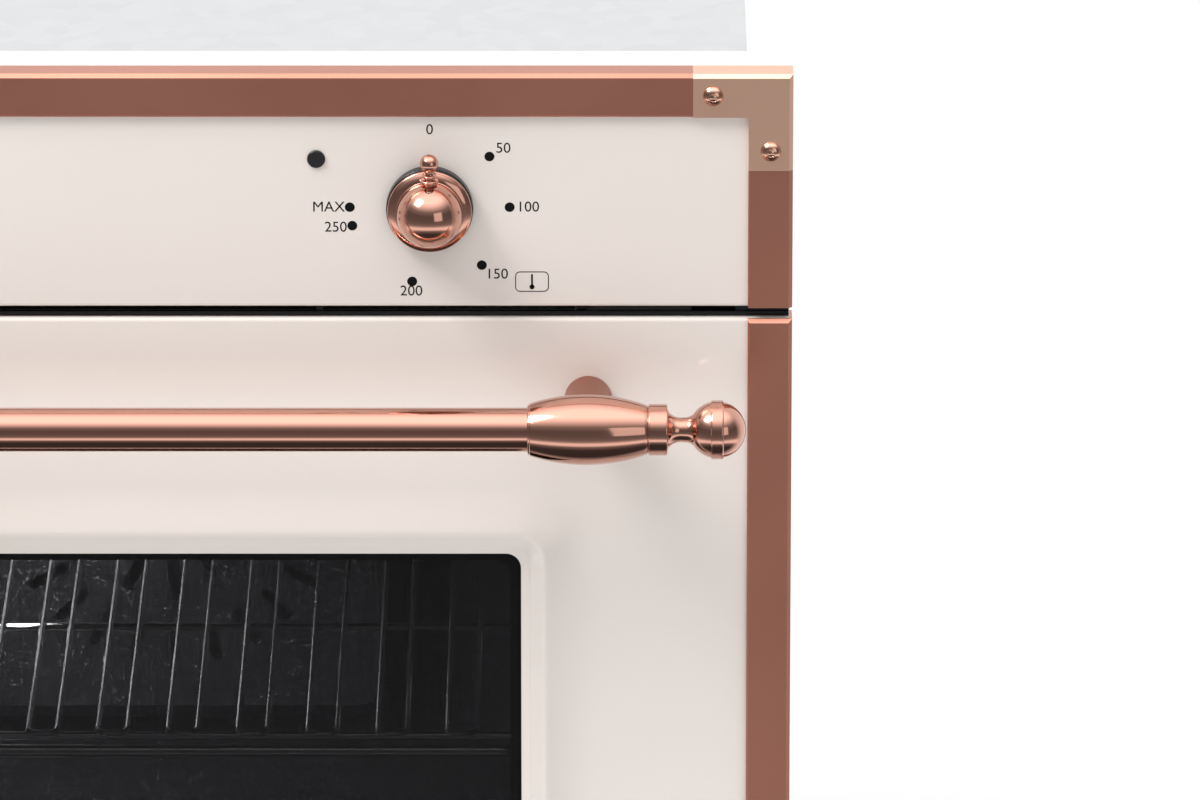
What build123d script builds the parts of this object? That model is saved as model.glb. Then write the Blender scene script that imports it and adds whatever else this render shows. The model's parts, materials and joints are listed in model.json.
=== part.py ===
from build123d import *
from math import cos, radians, sin, sqrt
import os

os.makedirs("parts", exist_ok=True)

# A built-in electric oven, 595 mm wide and high. +Z is up, the front faces -Y, and the
# origin is the bottom centre of its bounding box. All lengths are millimetres.

# Overall form
overall_height = 595.0
front_width = 595.0
front_thickness = 41.0  # cabinet plane to the flat front face
chassis_width = 556.0
chassis_height = 575.0
chassis_depth = 545.0  # behind the cabinet plane
panel_height = 110.0
vent_gap = 5.5  # cooling air outlet between panel and door
door_foot = 5.0  # door's lower edge above the shelf
sheet = 1.0
running = 0.3  # clearance between parts that only lie close
seat = 0.02  # clearance where one part is fixed in another

# Copper trim and corner brackets
trim_width = 20.0
trim_proud = 2.5
trim_wall = 1.0
trim_return = 12.0
trim_bevel = 1.7
inner_bevel = 0.8
bracket_arm = 45.0
bracket_proud = 3.2
rivet_far = 36.0  # from the outer corner along an arm
rivet_near = 10.0  # across the arm
rivet_head_radius = 4.6
rivet_head_height = 2.6
rivet_shank_radius = 2.0

# Handle
handle_standoff = 45.0
handle_drop = 38.2  # handle axis below the door's top edge
tube_radius = 10.0
barrel_radius = 16.0
barrel_start = 178.0
barrel_end = 232.5
barrel_mouth_radius = 11.5
collar_radius = 11.6
collar_end = 241.0
neck_radius = 5.7
neck_x = 248.5
ball_radius = 12.9
ball_x = 263.3
ball_band_radius = 13.4
ball_band_width = 5.5
post_x = 205.4
post_radius = 10.7
tube_grip = 12.0  # tube length inside each barrel
stud_radius = 3.0
stud_length = 14.0

# Door window and its raised moulding
window_width = 349.5
window_height = 270.0
window_drop = 112.3  # glass edge below the door's top edge
window_corner = 7.0
step_width = 4.3
ridge_width = 10.4
slope_width = 32.4
glass_level = 1.2
step_level = 2.4
ridge_level = 6.5
slope_level = 1.3
glass_thickness = 4.0
glass_lap = 9.0

# Knobs and what they turn
knob_x = 134.0
knob_drop = 63.0  # knob axis below the top edge
bezel_radius = 19.6
bezel_height = 5.2
skirt_radius = 19.1
knob_back = 5.6
skirt_level = 7.6
dome_base_radius = 14.6
dome_base_level = 9.2
dome_top_level = 27.0
pointer_level = 12.2
pointer_ball_radius = 4.3
pointer_ball_reach = 24.2
pointer_neck_radius = 3.3
pointer_seat = 13.9
pointer_pin_radius = 1.9
grub_level = 18.0
grub_radius = 1.9
shaft_radius = 3.0
shaft_depth_in_knob = 19.0
thermostat_turn = 271.0

# Pilot lamps
lamp_x = 83.0
lamp_drop = 40.3
lamp_lens_radius = 4.1
lamp_body_radius = 3.6

# Cavity
cavity_width = 450.0
cavity_height = 350.0
cavity_depth = 405.0
cavity_floor = 72.0
cavity_corner = 20.0
lip = 14.0
wool = 28.0
wool_low = 30.0
frame_thickness = 1.2
seal_width = 7.0
cabinet_screw_x = 286.0
cabinet_screw_low = 120.0
cabinet_screw_high = 380.0
cabinet_screw_radius = 2.4

# Hinges
hinge_x = 236.0
pivot_height = 20.0
pivot_setback = 22.0  # pivot in front of the cabinet plane
pivot_radius = 3.0
arm_thickness = 4.0
arm_height = 12.0
channel_width = 20.0
channel_wall = 1.5

# Wire shelf and its ladders
shelf_level = 247.5
shelf_depth = 342.0
shelf_frame_radius = 3.0
shelf_wire_radius = 1.5
hairpin_pitch = 32.6
hairpin_gap = 13.6
hairpins = 12
hairpin_setback = 12.6
ladder_wire_radius = 2.5
ladder_levels = 5
ladder_pitch = 55.0

# Places worked out from the sizes above
handle_reach = handle_standoff + barrel_radius
overall_depth = handle_reach + front_thickness + chassis_depth
cabinet_y = handle_reach + front_thickness - overall_depth / 2
face_y = cabinet_y - front_thickness
back_y = cabinet_y + chassis_depth
panel_bottom = overall_height - panel_height
door_top = panel_bottom - vent_gap
pan_low = door_foot + trim_wall
handle_y = face_y - handle_standoff
handle_z = door_top - handle_drop
knob_z = overall_height - knob_drop
lamp_z = overall_height - lamp_drop
window_top = door_top - window_drop
window_z = window_top - window_height / 2
cavity_z = cavity_floor + cavity_height / 2
cavity_back_y = cabinet_y + cavity_depth
pivot_y = cabinet_y - pivot_setback
body_half_width = front_width / 2 - trim_wall
pan_depth = front_thickness - 11.0
shelf_front_y = cabinet_y + 24.0
shelf_back_y = shelf_front_y + shelf_depth


def front_plane(y, x=0.0, z=0.0):
    """A drawing plane at depth y that faces the viewer: local x is X and local y is Z."""
    return Plane(origin=(x, y, z), x_dir=(1, 0, 0), z_dir=(0, -1, 0))


def side_plane(x):
    """A drawing plane across X: local x is Y and local y is Z."""
    return Plane(origin=(x, 0, 0), x_dir=(0, 1, 0), z_dir=(1, 0, 0))


def write(piece, name):
    piece.label = name
    export_step(piece, f"parts/{name}.step")


def write_both(piece, name):
    """The right-hand piece and its mirror image in one file."""
    with BuildPart() as both:
        add(piece)
        mirror(about=Plane.YZ)
    write(both.part, name)


# Control panel, a folded steel pan that is open at the back
with BuildPart() as control_panel:
    with BuildSketch(front_plane(face_y)):
        with Locations((0, panel_bottom + (panel_height - trim_wall) / 2)):
            Rectangle(2 * body_half_width, panel_height - trim_wall)
    extrude(amount=-(pan_depth + 8.0))
    fillet(control_panel.edges().group_by(Axis.Y)[0].sort_by(Axis.Z)[0], 1.5)
    offset(amount=-sheet, openings=control_panel.faces().sort_by(Axis.Y)[-1])
    with BuildSketch(front_plane(face_y)):
        with Locations((-knob_x, knob_z), (knob_x, knob_z)):
            Circle(shaft_radius + 3.0)
        with Locations((-lamp_x, lamp_z), (lamp_x, lamp_z)):
            Circle(lamp_body_radius + 0.2)
        for side in (-1, 1):
            for across, down in ((rivet_far, rivet_near), (rivet_near, rivet_far)):
                with Locations((side * (front_width / 2 - across), overall_height - down)):
                    Circle(rivet_shank_radius + seat)
    extrude(amount=-3 * sheet, mode=Mode.SUBTRACT)
write(control_panel.part, "control_panel")


def angle_strip(low, high, bevel_top):
    """An upright copper strip on the right edge, with a return along the side."""
    outer = front_width / 2
    with BuildPart() as strip:
        with BuildSketch(Plane.XY.offset(low)):
            with BuildLine():
                Polyline(
                    (outer, face_y + trim_return),
                    (outer, face_y - trim_proud + trim_bevel),
                    (outer - trim_bevel, face_y - trim_proud),
                    (outer - trim_width + inner_bevel, face_y - trim_proud),
                    (outer - trim_width, face_y - trim_proud + inner_bevel),
                    (outer - trim_width, face_y),
                    (outer - trim_wall, face_y),
                    (outer - trim_wall, face_y + trim_return),
                    close=True,
                )
            make_face()
        extrude(amount=high - low)
        if bevel_top:
            chamfer(strip.edges().group_by(Axis.Z)[-1].sort_by(Axis.Y)[0], trim_bevel)
    return strip.part


def level_strip(low_z, high_z, outside_up):
    """A level copper strip between two corner brackets, with a return over the edge."""
    outer, inner = (high_z, low_z) if outside_up else (low_z, high_z)
    inward = -1 if outside_up else 1
    span = front_width - 2 * bracket_arm
    with BuildPart() as strip:
        with BuildSketch(side_plane(-span / 2)):
            with BuildLine():
                Polyline(
                    (face_y + trim_return, outer),
                    (face_y - trim_proud + trim_bevel, outer),
                    (face_y - trim_proud, outer + inward * trim_bevel),
                    (face_y - trim_proud, inner - inward * inner_bevel),
                    (face_y - trim_proud + inner_bevel, inner),
                    (face_y, inner),
                    (face_y, outer + inward * trim_wall),
                    (face_y + trim_return, outer + inward * trim_wall),
                    close=True,
                )
            make_face()
        extrude(amount=span)
    return strip.part


def corner_bracket(corner_z, down):
    """An L-shaped corner plate on the right, with its rivet holes and two returns. down is 1 at the top of the front."""
    outer = front_width / 2
    inner = outer - trim_width
    with BuildPart() as bracket:
        with BuildSketch(front_plane(face_y)):
            with BuildLine():
                Polyline(
                    (outer, corner_z),
                    (outer, corner_z - down * bracket_arm),
                    (inner, corner_z - down * bracket_arm),
                    (inner, corner_z - down * trim_width),
                    (outer - bracket_arm, corner_z - down * trim_width),
                    (outer - bracket_arm, corner_z),
                    close=True,
                )
            make_face()
        extrude(amount=bracket_proud)
        front_edges = bracket.edges().group_by(Axis.Y)[0]
        outline = [front_edges.sort_by(Axis.X)[-1]]
        outline += [front_edges.sort_by(Axis.Z)[-1 if down > 0 else 0]]
        chamfer(outline, trim_bevel)
        with BuildSketch(front_plane(face_y)):
            with Locations((outer - trim_wall / 2, corner_z - down * bracket_arm / 2)):
                Rectangle(trim_wall, bracket_arm)
            with Locations((outer - bracket_arm / 2, corner_z - down * trim_wall / 2)):
                Rectangle(bracket_arm, trim_wall)
        extrude(amount=-trim_return)
        with BuildSketch(front_plane(face_y)):
            with Locations(
                (outer - rivet_far, corner_z - down * rivet_near),
                (outer - rivet_near, corner_z - down * rivet_far),
            ):
                Circle(rivet_shank_radius + seat)
        extrude(amount=bracket_proud, mode=Mode.SUBTRACT)
    return bracket.part


def rivets(corner_z, down):
    """Four domed rivets, two in each bracket at one end of the front."""
    seat = face_y - bracket_proud
    with BuildPart() as group:
        for side in (-1, 1):
            for across, drop in ((rivet_far, rivet_near), (rivet_near, rivet_far)):
                x = side * (front_width / 2 - across)
                z = corner_z - down * drop
                with BuildSketch(Plane(origin=(x, seat, z), x_dir=(1, 0, 0), z_dir=(0, 0, 1))):
                    with BuildLine():
                        rim = Line((0, -rivet_head_height), (rivet_head_radius * 0.4, -rivet_head_height))
                        RadiusArc(rim @ 1, (rivet_head_radius, 0), -rivet_head_radius * 0.8)
                        Polyline(
                            (rivet_head_radius, 0),
                            (rivet_shank_radius, 0),
                            (rivet_shank_radius, bracket_proud + 2.5),
                            (0, bracket_proud + 2.5),
                            (0, -rivet_head_height),
                        )
                    make_face()
                revolve(axis=Axis((x, seat, z), (0, 1, 0)))
    return group.part


write_both(angle_strip(panel_bottom, overall_height - bracket_arm, False), "panel_side_trims")
write_both(angle_strip(door_foot + bracket_arm, door_top, True), "door_side_trims")
write(level_strip(overall_height - trim_width, overall_height, True), "panel_top_trim")
write(level_strip(door_foot, door_foot + trim_width, False), "door_bottom_trim")
write_both(corner_bracket(overall_height, 1), "panel_brackets")
write_both(corner_bracket(door_foot, -1), "door_brackets")
write(rivets(overall_height, 1), "panel_rivets")
write(rivets(door_foot, -1), "door_rivets")


# Knobs: bezel, turned copper body, pointer, and the switch's shaft
dome_centre = (dome_base_radius**2 + dome_base_level**2 - dome_top_level**2) / (
    2 * (dome_base_level - dome_top_level)
)
dome_radius = dome_top_level - dome_centre
dome_join_level = dome_base_level + 0.7
dome_join_radius = sqrt(dome_radius**2 - (dome_join_level - dome_centre) ** 2)


def knob_sketch_plane():
    return Plane(origin=(knob_x, face_y, knob_z), x_dir=(1, 0, 0), z_dir=(0, 0, 1))


knob_axis = Axis((knob_x, face_y, knob_z), (0, 1, 0))

with BuildPart() as knob_bezel:
    with BuildSketch(front_plane(face_y, knob_x, knob_z)):
        Circle(bezel_radius)
        Circle(shaft_radius + 3.0, mode=Mode.SUBTRACT)
    extrude(amount=bezel_height)
    chamfer(knob_bezel.edges().group_by(Axis.Y)[0].sort_by(SortBy.LENGTH)[-1], 0.6)

with BuildPart() as knob:
    with BuildSketch(knob_sketch_plane()):
        with BuildLine():
            back = Polyline(
                (0, -knob_back),
                (skirt_radius - 1.0, -knob_back),
                (skirt_radius, -knob_back - 1.0),
                (skirt_radius, -skirt_level),
            )
            slope = RadiusArc(back @ 1, (dome_base_radius + 1.0, -dome_base_level), -9.0)
            bead = ThreePointArc(
                slope @ 1,
                (dome_base_radius + 0.8, -dome_base_level - 0.55),
                (dome_join_radius, -dome_join_level),
            )
            ThreePointArc(
                bead @ 1,
                (dome_radius * sin(radians(45)), -dome_centre - dome_radius * cos(radians(45))),
                (0, -dome_top_level),
            )
            Line((0, -dome_top_level), (0, -knob_back))
        make_face()
    revolve(axis=knob_axis)
    with BuildSketch(front_plane(face_y - knob_back, knob_x, knob_z)):
        Circle(shaft_radius + seat)
    extrude(amount=shaft_depth_in_knob - knob_back + running, mode=Mode.SUBTRACT)
    with BuildSketch(Plane(origin=(knob_x, face_y - pointer_level, knob_z + pointer_seat))):
        Circle(pointer_neck_radius + 0.15)
    extrude(amount=6.0, mode=Mode.SUBTRACT)
    with BuildSketch(Plane(origin=(knob_x, face_y - pointer_level, knob_z + pointer_seat))):
        Circle(pointer_pin_radius + seat)
    extrude(amount=-6.2, mode=Mode.SUBTRACT)
    with BuildSketch(Plane(origin=(knob_x, face_y - grub_level, knob_z + shaft_radius + 3.0))):
        Circle(grub_radius)
    extrude(amount=dome_radius, mode=Mode.SUBTRACT)

with BuildPart() as knob_pointer:
    neck = pointer_seat
    ball_low = pointer_ball_reach - sqrt(pointer_ball_radius**2 - 2.2**2)
    with BuildSketch(Plane(origin=(knob_x, face_y - pointer_level, knob_z), x_dir=(1, 0, 0), z_dir=(0, -1, 0))):
        with BuildLine():
            stem = Polyline(
                (0, neck - 6.0),
                (pointer_pin_radius, neck - 6.0),
                (pointer_pin_radius, neck),
                (pointer_neck_radius, neck),
                (pointer_neck_radius, neck + 1.4),
                (2.7, neck + 1.9),
                (2.7, neck + 2.6),
                (3.2, neck + 3.0),
                (3.2, neck + 4.4),
                (2.2, neck + 5.2),
                (2.2, ball_low),
            )
            ThreePointArc(
                stem @ 1,
                (pointer_ball_radius, pointer_ball_reach),
                (0, pointer_ball_reach + pointer_ball_radius),
            )
            Line((0, pointer_ball_reach + pointer_ball_radius), (0, neck - 6.0))
        make_face()
    revolve(axis=Axis((knob_x, face_y - pointer_level, knob_z), (0, 0, 1)))

bush_front = face_y + 17.0
switch_front = face_y + 21.4
with BuildPart() as knob_shaft:
    with BuildSketch(front_plane(switch_front + 10.0, knob_x, knob_z)):
        Circle(shaft_radius)
    extrude(amount=switch_front + 10.0 - (face_y - shaft_depth_in_knob))

write_both(knob_bezel.part, "knob_bezels")
write(knob.part, "thermostat_knob")
write(knob_pointer.part, "thermostat_pointer")
write(knob_shaft.part, "thermostat_shaft")
write(mirror(knob.part, about=Plane.YZ), "selector_knob")
write(mirror(knob_pointer.part, about=Plane.YZ), "selector_pointer")
write(mirror(knob_shaft.part, about=Plane.YZ), "selector_shaft")

# Carrier plate behind the panel, which holds the thermostat and the selector switch
carrier_tab_x = chassis_width / 2 - 8.0
with BuildPart() as control_carrier:
    with BuildSketch(front_plane(switch_front)):
        with Locations((0, (panel_bottom + overall_height) / 2)):
            Rectangle(2 * body_half_width - 2 * sheet, panel_height - 10.0)
        with Locations((-knob_x, knob_z), (knob_x, knob_z)):
            Circle(5.4, mode=Mode.SUBTRACT)
        with Locations((-lamp_x, lamp_z), (lamp_x, lamp_z)):
            Circle(lamp_body_radius + running, mode=Mode.SUBTRACT)
        with Locations((-210, knob_z), (0, knob_z), (210, knob_z)):
            SlotOverall(46, 22, mode=Mode.SUBTRACT)
    extrude(amount=1.2)
    with BuildSketch(front_plane(cabinet_y)):
        with Locations((-carrier_tab_x, knob_z - 6.0), (carrier_tab_x, knob_z - 6.0)):
            Rectangle(1.2, 56.0)
    extrude(amount=cabinet_y - switch_front)
write(control_carrier.part, "control_carrier")


def switch_body(width, height, depth):
    """A rotary control behind the carrier plate, with a bush that the shaft turns in."""
    with BuildPart() as body:
        with BuildSketch(front_plane(switch_front, knob_x, knob_z)):
            RectangleRounded(width, height, 3.0)
        extrude(amount=-depth)
        with BuildSketch(front_plane(switch_front, knob_x, knob_z)):
            Circle(5.0)
        extrude(amount=switch_front - bush_front)
        with BuildSketch(front_plane(bush_front, knob_x, knob_z)):
            Circle(shaft_radius + 0.08)
        extrude(amount=-(switch_front + 11.0 - bush_front), mode=Mode.SUBTRACT)
        with BuildSketch(front_plane(switch_front + depth, knob_x, knob_z)):
            with GridLocations(9.0, height - 9.0, 3, 2):
                Rectangle(6.3, 0.8)
        extrude(amount=-8.0)
    return body.part


write(switch_body(42.0, 36.0, 24.0), "thermostat")
write(mirror(switch_body(44.0, 44.0, 34.0), about=Plane.YZ), "selector_switch")

with BuildPart() as pilot_lamp:
    with BuildSketch(front_plane(face_y, lamp_x, lamp_z)):
        Circle(lamp_lens_radius)
    extrude(amount=1.2)
    fillet(pilot_lamp.edges().group_by(Axis.Y)[0], 0.8)
    with BuildSketch(front_plane(face_y, lamp_x, lamp_z)):
        Circle(lamp_body_radius)
    extrude(amount=-(switch_front + 6.0 - face_y))
write_both(pilot_lamp.part, "pilot_lamps")


# Air outlet strip in the gap under the panel: a lipped channel with a long slot
strip_front = face_y + 3.0
strip_low = door_top + 0.5
strip_high = panel_bottom - running
slot_half = 204.0
with BuildPart() as vent_strip:
    with BuildSketch(side_plane(-front_width / 2 + 1.5)):
        with BuildLine():
            Polyline(
                (strip_front, strip_low),
                (strip_front + 6.0, strip_low),
                (strip_front + 6.0, strip_low + 0.8),
                (strip_front + 0.8, strip_low + 0.8),
                (strip_front + 0.8, strip_low + 1.8),
                (strip_front, strip_low + 1.8),
                close=True,
            )
        make_face()
    extrude(amount=front_width - 3.0)
    with BuildSketch(side_plane(-front_width / 2 + 1.5)):
        with Locations((strip_front + 3.4, strip_high - 0.4)):
            Rectangle(5.2, 0.8)
    extrude(amount=front_width - 3.0)
    for side in (-1, 1):
        with BuildSketch(front_plane(strip_front + 1.0)):
            with BuildLine():
                Polyline(
                    (side * slot_half, strip_low + 0.4),
                    (side * (slot_half + 3.0), strip_high - 0.4),
                    (side * (front_width / 2 - 1.5), strip_high - 0.4),
                    (side * (front_width / 2 - 1.5), strip_low + 0.4),
                    close=True,
                )
            make_face()
            with Locations((side * 84.0, (strip_low + strip_high) / 2)):
                Rectangle(3.0, strip_high - strip_low - 0.8)
        extrude(amount=-5.0)
        with BuildSketch(front_plane(strip_front + 1.0)):
            with Locations((side * 262.0, (strip_low + strip_high) / 2)):
                Rectangle(20.0, strip_high - strip_low - 1.6)
        extrude(amount=-3.0, mode=Mode.SUBTRACT)
write(vent_strip.part, "vent_strip")


# Door front: a pressed pan with a raised moulding round the window
def press_form(inset, back, depth):
    """The solid that fills the door front, drawn in by inset and moved back: the flat face and the moulding's levels."""
    levels = (
        (slope_width, 0.0, 28.0),
        (slope_width - 9.0, slope_level, 24.0),
        (ridge_width + 2.2, ridge_level - 0.5, 15.0),
        (ridge_width, ridge_level, 13.5),
    )
    with BuildPart() as form:
        with BuildSketch(front_plane(face_y + back)):
            with Locations((0, (pan_low + door_top) / 2)):
                Rectangle(2 * (body_half_width - inset), door_top - pan_low - 2 * inset)
        extrude(amount=-depth)
        for low, high in zip(levels, levels[1:]):
            for width, level, corner in (low, high):
                with BuildSketch(front_plane(face_y + back - level)):
                    with Locations((0, window_z)):
                        RectangleRounded(window_width + 2 * width, window_height + 2 * width, corner)
            loft(ruled=True)
        inner = ((ridge_width - 0.6, ridge_level, 12.5), (step_width, step_level, 9.5), (step_width - 0.4, glass_level, 9.2))
        for high, low in zip(inner, inner[1:]):
            for width, level, corner in (high, low):
                with BuildSketch(front_plane(face_y + back - level)):
                    with Locations((0, window_z)):
                        RectangleRounded(window_width + 2 * width, window_height + 2 * width, corner)
            loft(ruled=True, mode=Mode.SUBTRACT)
    return form.part


with BuildPart() as door_front:
    add(press_form(0.0, 0.0, pan_depth))
    fillet(door_front.edges().filter_by(Axis.X).group_by(Axis.Z)[-1].sort_by(Axis.Y)[0], 2.0)
    add(press_form(sheet, sheet, pan_depth + 5.0), mode=Mode.SUBTRACT)
    with BuildSketch(front_plane(face_y)):
        with Locations((0, window_z)):
            RectangleRounded(window_width, window_height, window_corner)
        with Locations((-post_x, handle_z), (post_x, handle_z)):
            Circle(2.6)
        for side in (-1, 1):
            for across, up in ((rivet_far, rivet_near), (rivet_near, rivet_far)):
                with Locations((side * (front_width / 2 - across), door_foot + up)):
                    Circle(rivet_shank_radius + seat)
    extrude(amount=10.0, both=True, mode=Mode.SUBTRACT)
    notch = arm_height / 2 + 3.0
    with BuildSketch(Plane.XY.offset(pan_low)):
        with Locations(
            (-hinge_x, (pivot_y - notch + face_y + pan_depth + 1) / 2),
            (hinge_x, (pivot_y - notch + face_y + pan_depth + 1) / 2),
        ):
            Rectangle(arm_thickness + 6.0, face_y + pan_depth + 1 - pivot_y + notch)
    extrude(amount=sheet, mode=Mode.SUBTRACT)
write(door_front.part, "door_front")

# The window: seal, dark outer pane and the frame that clamps it
pane_y = face_y + 0.6


def window_ring(outer_lap, inner_lap, front, thickness):
    with BuildPart() as ring:
        with BuildSketch(front_plane(front)):
            with Locations((0, window_z)):
                RectangleRounded(window_width + 2 * outer_lap, window_height + 2 * outer_lap, window_corner + 1)
                RectangleRounded(window_width + 2 * inner_lap, window_height + 2 * inner_lap, window_corner, mode=Mode.SUBTRACT)
        extrude(amount=-thickness)
    return ring.part


with BuildPart() as window_glass:
    with BuildSketch(front_plane(pane_y)):
        with Locations((0, window_z)):
            RectangleRounded(window_width + 2 * glass_lap - 6, window_height + 2 * glass_lap - 6, window_corner)
    extrude(amount=-glass_thickness)
write(window_glass.part, "window_glass")
write(window_ring(3.6, 0.6, face_y - glass_level + sheet, pane_y - face_y + glass_level - sheet), "window_seal")
with BuildPart() as glass_clamp_frame:
    add(window_ring(slope_width + 8.0, -4.9, pane_y + glass_thickness, 1.2))
    add(window_ring(slope_width + 8.0, slope_width + 2.0, face_y + sheet, pane_y + glass_thickness - face_y - sheet))
write(glass_clamp_frame.part, "glass_clamp_frame")

# Handle: a tube between two turned barrels, ball finials and posts to the door
handle_axis = Axis((0, handle_y, handle_z), (1, 0, 0))
handle_plane = Plane(origin=(0, handle_y, handle_z), x_dir=(1, 0, 0), z_dir=(0, -1, 0))

with BuildPart() as handle_tube:
    with BuildSketch(side_plane(-barrel_start - tube_grip)):
        with Locations((handle_y, handle_z)):
            Circle(tube_radius)
            Circle(tube_radius - 1.2, mode=Mode.SUBTRACT)
    extrude(amount=2 * (barrel_start + tube_grip))
write(handle_tube.part, "handle_tube")

with BuildPart() as barrel:
    with BuildSketch(handle_plane):
        with BuildLine():
            mouth = Line((barrel_start, 0), (barrel_start, barrel_mouth_radius))
            bulge = ThreePointArc(
                mouth @ 1,
                ((barrel_start + barrel_end) / 2, barrel_radius),
                (barrel_end, collar_radius - 0.8),
            )
            Polyline(
                bulge @ 1,
                (barrel_end, collar_radius),
                (collar_end - 1.0, collar_radius),
                (collar_end, collar_radius - 1.0),
                (collar_end, 0),
                mouth @ 0,
            )
        make_face()
    revolve(axis=handle_axis)
    with BuildSketch(side_plane(barrel_start)):
        with Locations((handle_y, handle_z)):
            Circle(tube_radius + seat)
    extrude(amount=tube_grip + running, mode=Mode.SUBTRACT)
    with BuildSketch(side_plane(collar_end)):
        with Locations((handle_y, handle_z)):
            Circle(stud_radius + seat)
    extrude(amount=-stud_length - running, mode=Mode.SUBTRACT)
write_both(barrel.part, "handle_barrels")

with BuildPart() as finial:
    ball_meets_neck = ball_x - sqrt(ball_radius**2 - (neck_radius + 1.8) ** 2)
    with BuildSketch(handle_plane):
        with BuildLine():
            shank = Polyline(
                (collar_end - stud_length, 0),
                (collar_end - stud_length, stud_radius),
                (collar_end, stud_radius),
                (collar_end, collar_radius - 2.6),
            )
            neck_curve = ThreePointArc(shank @ 1, (neck_x, neck_radius), (ball_meets_neck, neck_radius + 1.8))
            band_shoulder = ball_x - ball_band_width / 2
            rise = ThreePointArc(
                neck_curve @ 1,
                (
                    ball_x - ball_radius * cos(radians(50)),
                    ball_radius * sin(radians(50)),
                ),
                (band_shoulder, sqrt(ball_radius**2 - (ball_band_width / 2) ** 2)),
            )
            band = Polyline(
                rise @ 1,
                (band_shoulder, ball_band_radius),
                (ball_x + ball_band_width / 2, ball_band_radius),
                (ball_x + ball_band_width / 2, sqrt(ball_radius**2 - (ball_band_width / 2) ** 2)),
            )
            ThreePointArc(
                band @ 1,
                (ball_x + ball_radius * cos(radians(40)), ball_radius * sin(radians(40))),
                (ball_x + ball_radius, 0),
            )
            Line((ball_x + ball_radius, 0), (collar_end - stud_length, 0))
        make_face()
    revolve(axis=handle_axis)
write_both(finial.part, "handle_finials")

with BuildPart() as post:
    with BuildSketch(front_plane(face_y, post_x, handle_z)):
        Circle(post_radius)
    extrude(amount=handle_standoff)
    with BuildSketch(handle_plane):
        with BuildLine():
            cut_mouth = Line((barrel_start, 0), (barrel_start, barrel_mouth_radius + 0.02))
            ThreePointArc(
                cut_mouth @ 1,
                ((barrel_start + barrel_end) / 2, barrel_radius + 0.02),
                (barrel_end, collar_radius - 0.78),
            )
            Polyline((barrel_end, collar_radius - 0.78), (barrel_end, 0), (barrel_start, 0))
        make_face()
    revolve(axis=handle_axis, mode=Mode.SUBTRACT)
    with BuildSketch(front_plane(face_y, post_x, handle_z)):
        Circle(2.0 + seat)
    extrude(amount=20.0, mode=Mode.SUBTRACT)
write_both(post.part, "handle_posts")

with BuildPart() as handle_screws:
    for side in (-1, 1):
        with BuildSketch(front_plane(face_y + sheet, side * post_x, handle_z)):
            Circle(2.0)
        extrude(amount=sheet + 16.0)
        with BuildSketch(front_plane(face_y + sheet, side * post_x, handle_z)):
            Circle(4.0)
        extrude(amount=-2.6)
write(handle_screws.part, "handle_screws")

# Door's inner frame: hinge channels, rails and the inner pane
channel_y = face_y + sheet
channel_back = face_y + pan_depth - running
inner_pane_y = channel_back
half_channel = channel_width / 2


with BuildPart() as hinge_channel:
    with BuildSketch(Plane.XY.offset(door_foot + 4.0)):
        with Locations((hinge_x, (channel_y + channel_back) / 2)):
            Rectangle(channel_width, channel_back - channel_y)
        with Locations((hinge_x, (channel_y + channel_back) / 2 + channel_wall)):
            Rectangle(channel_width - 2 * channel_wall, channel_back - channel_y, mode=Mode.SUBTRACT)
    extrude(amount=door_top - 6.0 - door_foot - 4.0)
    with BuildSketch(side_plane(hinge_x - half_channel)):
        with Locations((pivot_y, pivot_height)):
            Circle(pivot_radius + seat)
    extrude(amount=channel_width, mode=Mode.SUBTRACT)
write_both(hinge_channel.part, "hinge_channels")

with BuildPart() as hinge_pin:
    with BuildSketch(side_plane(hinge_x - half_channel - running)):
        with Locations((pivot_y, pivot_height)):
            Circle(pivot_radius)
    extrude(amount=channel_width + 2 * running)
    with BuildSketch(side_plane(hinge_x + half_channel)):
        with Locations((pivot_y, pivot_height)):
            Circle(pivot_radius + 1.6)
    extrude(amount=1.4)
write_both(hinge_pin.part, "hinge_pins")

arm_reach = 30.0  # behind the cabinet plane
with BuildPart() as hinge_arm:
    with BuildSketch(side_plane(hinge_x - arm_thickness / 2)):
        with Locations((pivot_y, pivot_height)):
            Circle(arm_height / 2)
        with Locations(((pivot_y + cabinet_y + arm_reach) / 2, pivot_height)):
            Rectangle(cabinet_y + arm_reach - pivot_y, arm_height)
        with Locations((cabinet_y + 14.0, pivot_height + arm_height / 2)):
            Rectangle(6.0, 5.0, mode=Mode.SUBTRACT)
        with Locations((pivot_y, pivot_height)):
            Circle(pivot_radius + 0.08, mode=Mode.SUBTRACT)
    extrude(amount=arm_thickness)
write_both(hinge_arm.part, "hinge_arms")

with BuildPart() as hinge_receiver:
    with BuildSketch(front_plane(cabinet_y + 4.0, hinge_x)):
        with Locations((0, (sheet + wool_low - running) / 2)):
            Rectangle(16.0, wool_low - running - sheet)
        with Locations((0, pivot_height - arm_height / 2 + 20.0)):
            Rectangle(arm_thickness, 40.0, mode=Mode.SUBTRACT)
    extrude(amount=-34.0)
write_both(hinge_receiver.part, "hinge_receivers")


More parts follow.
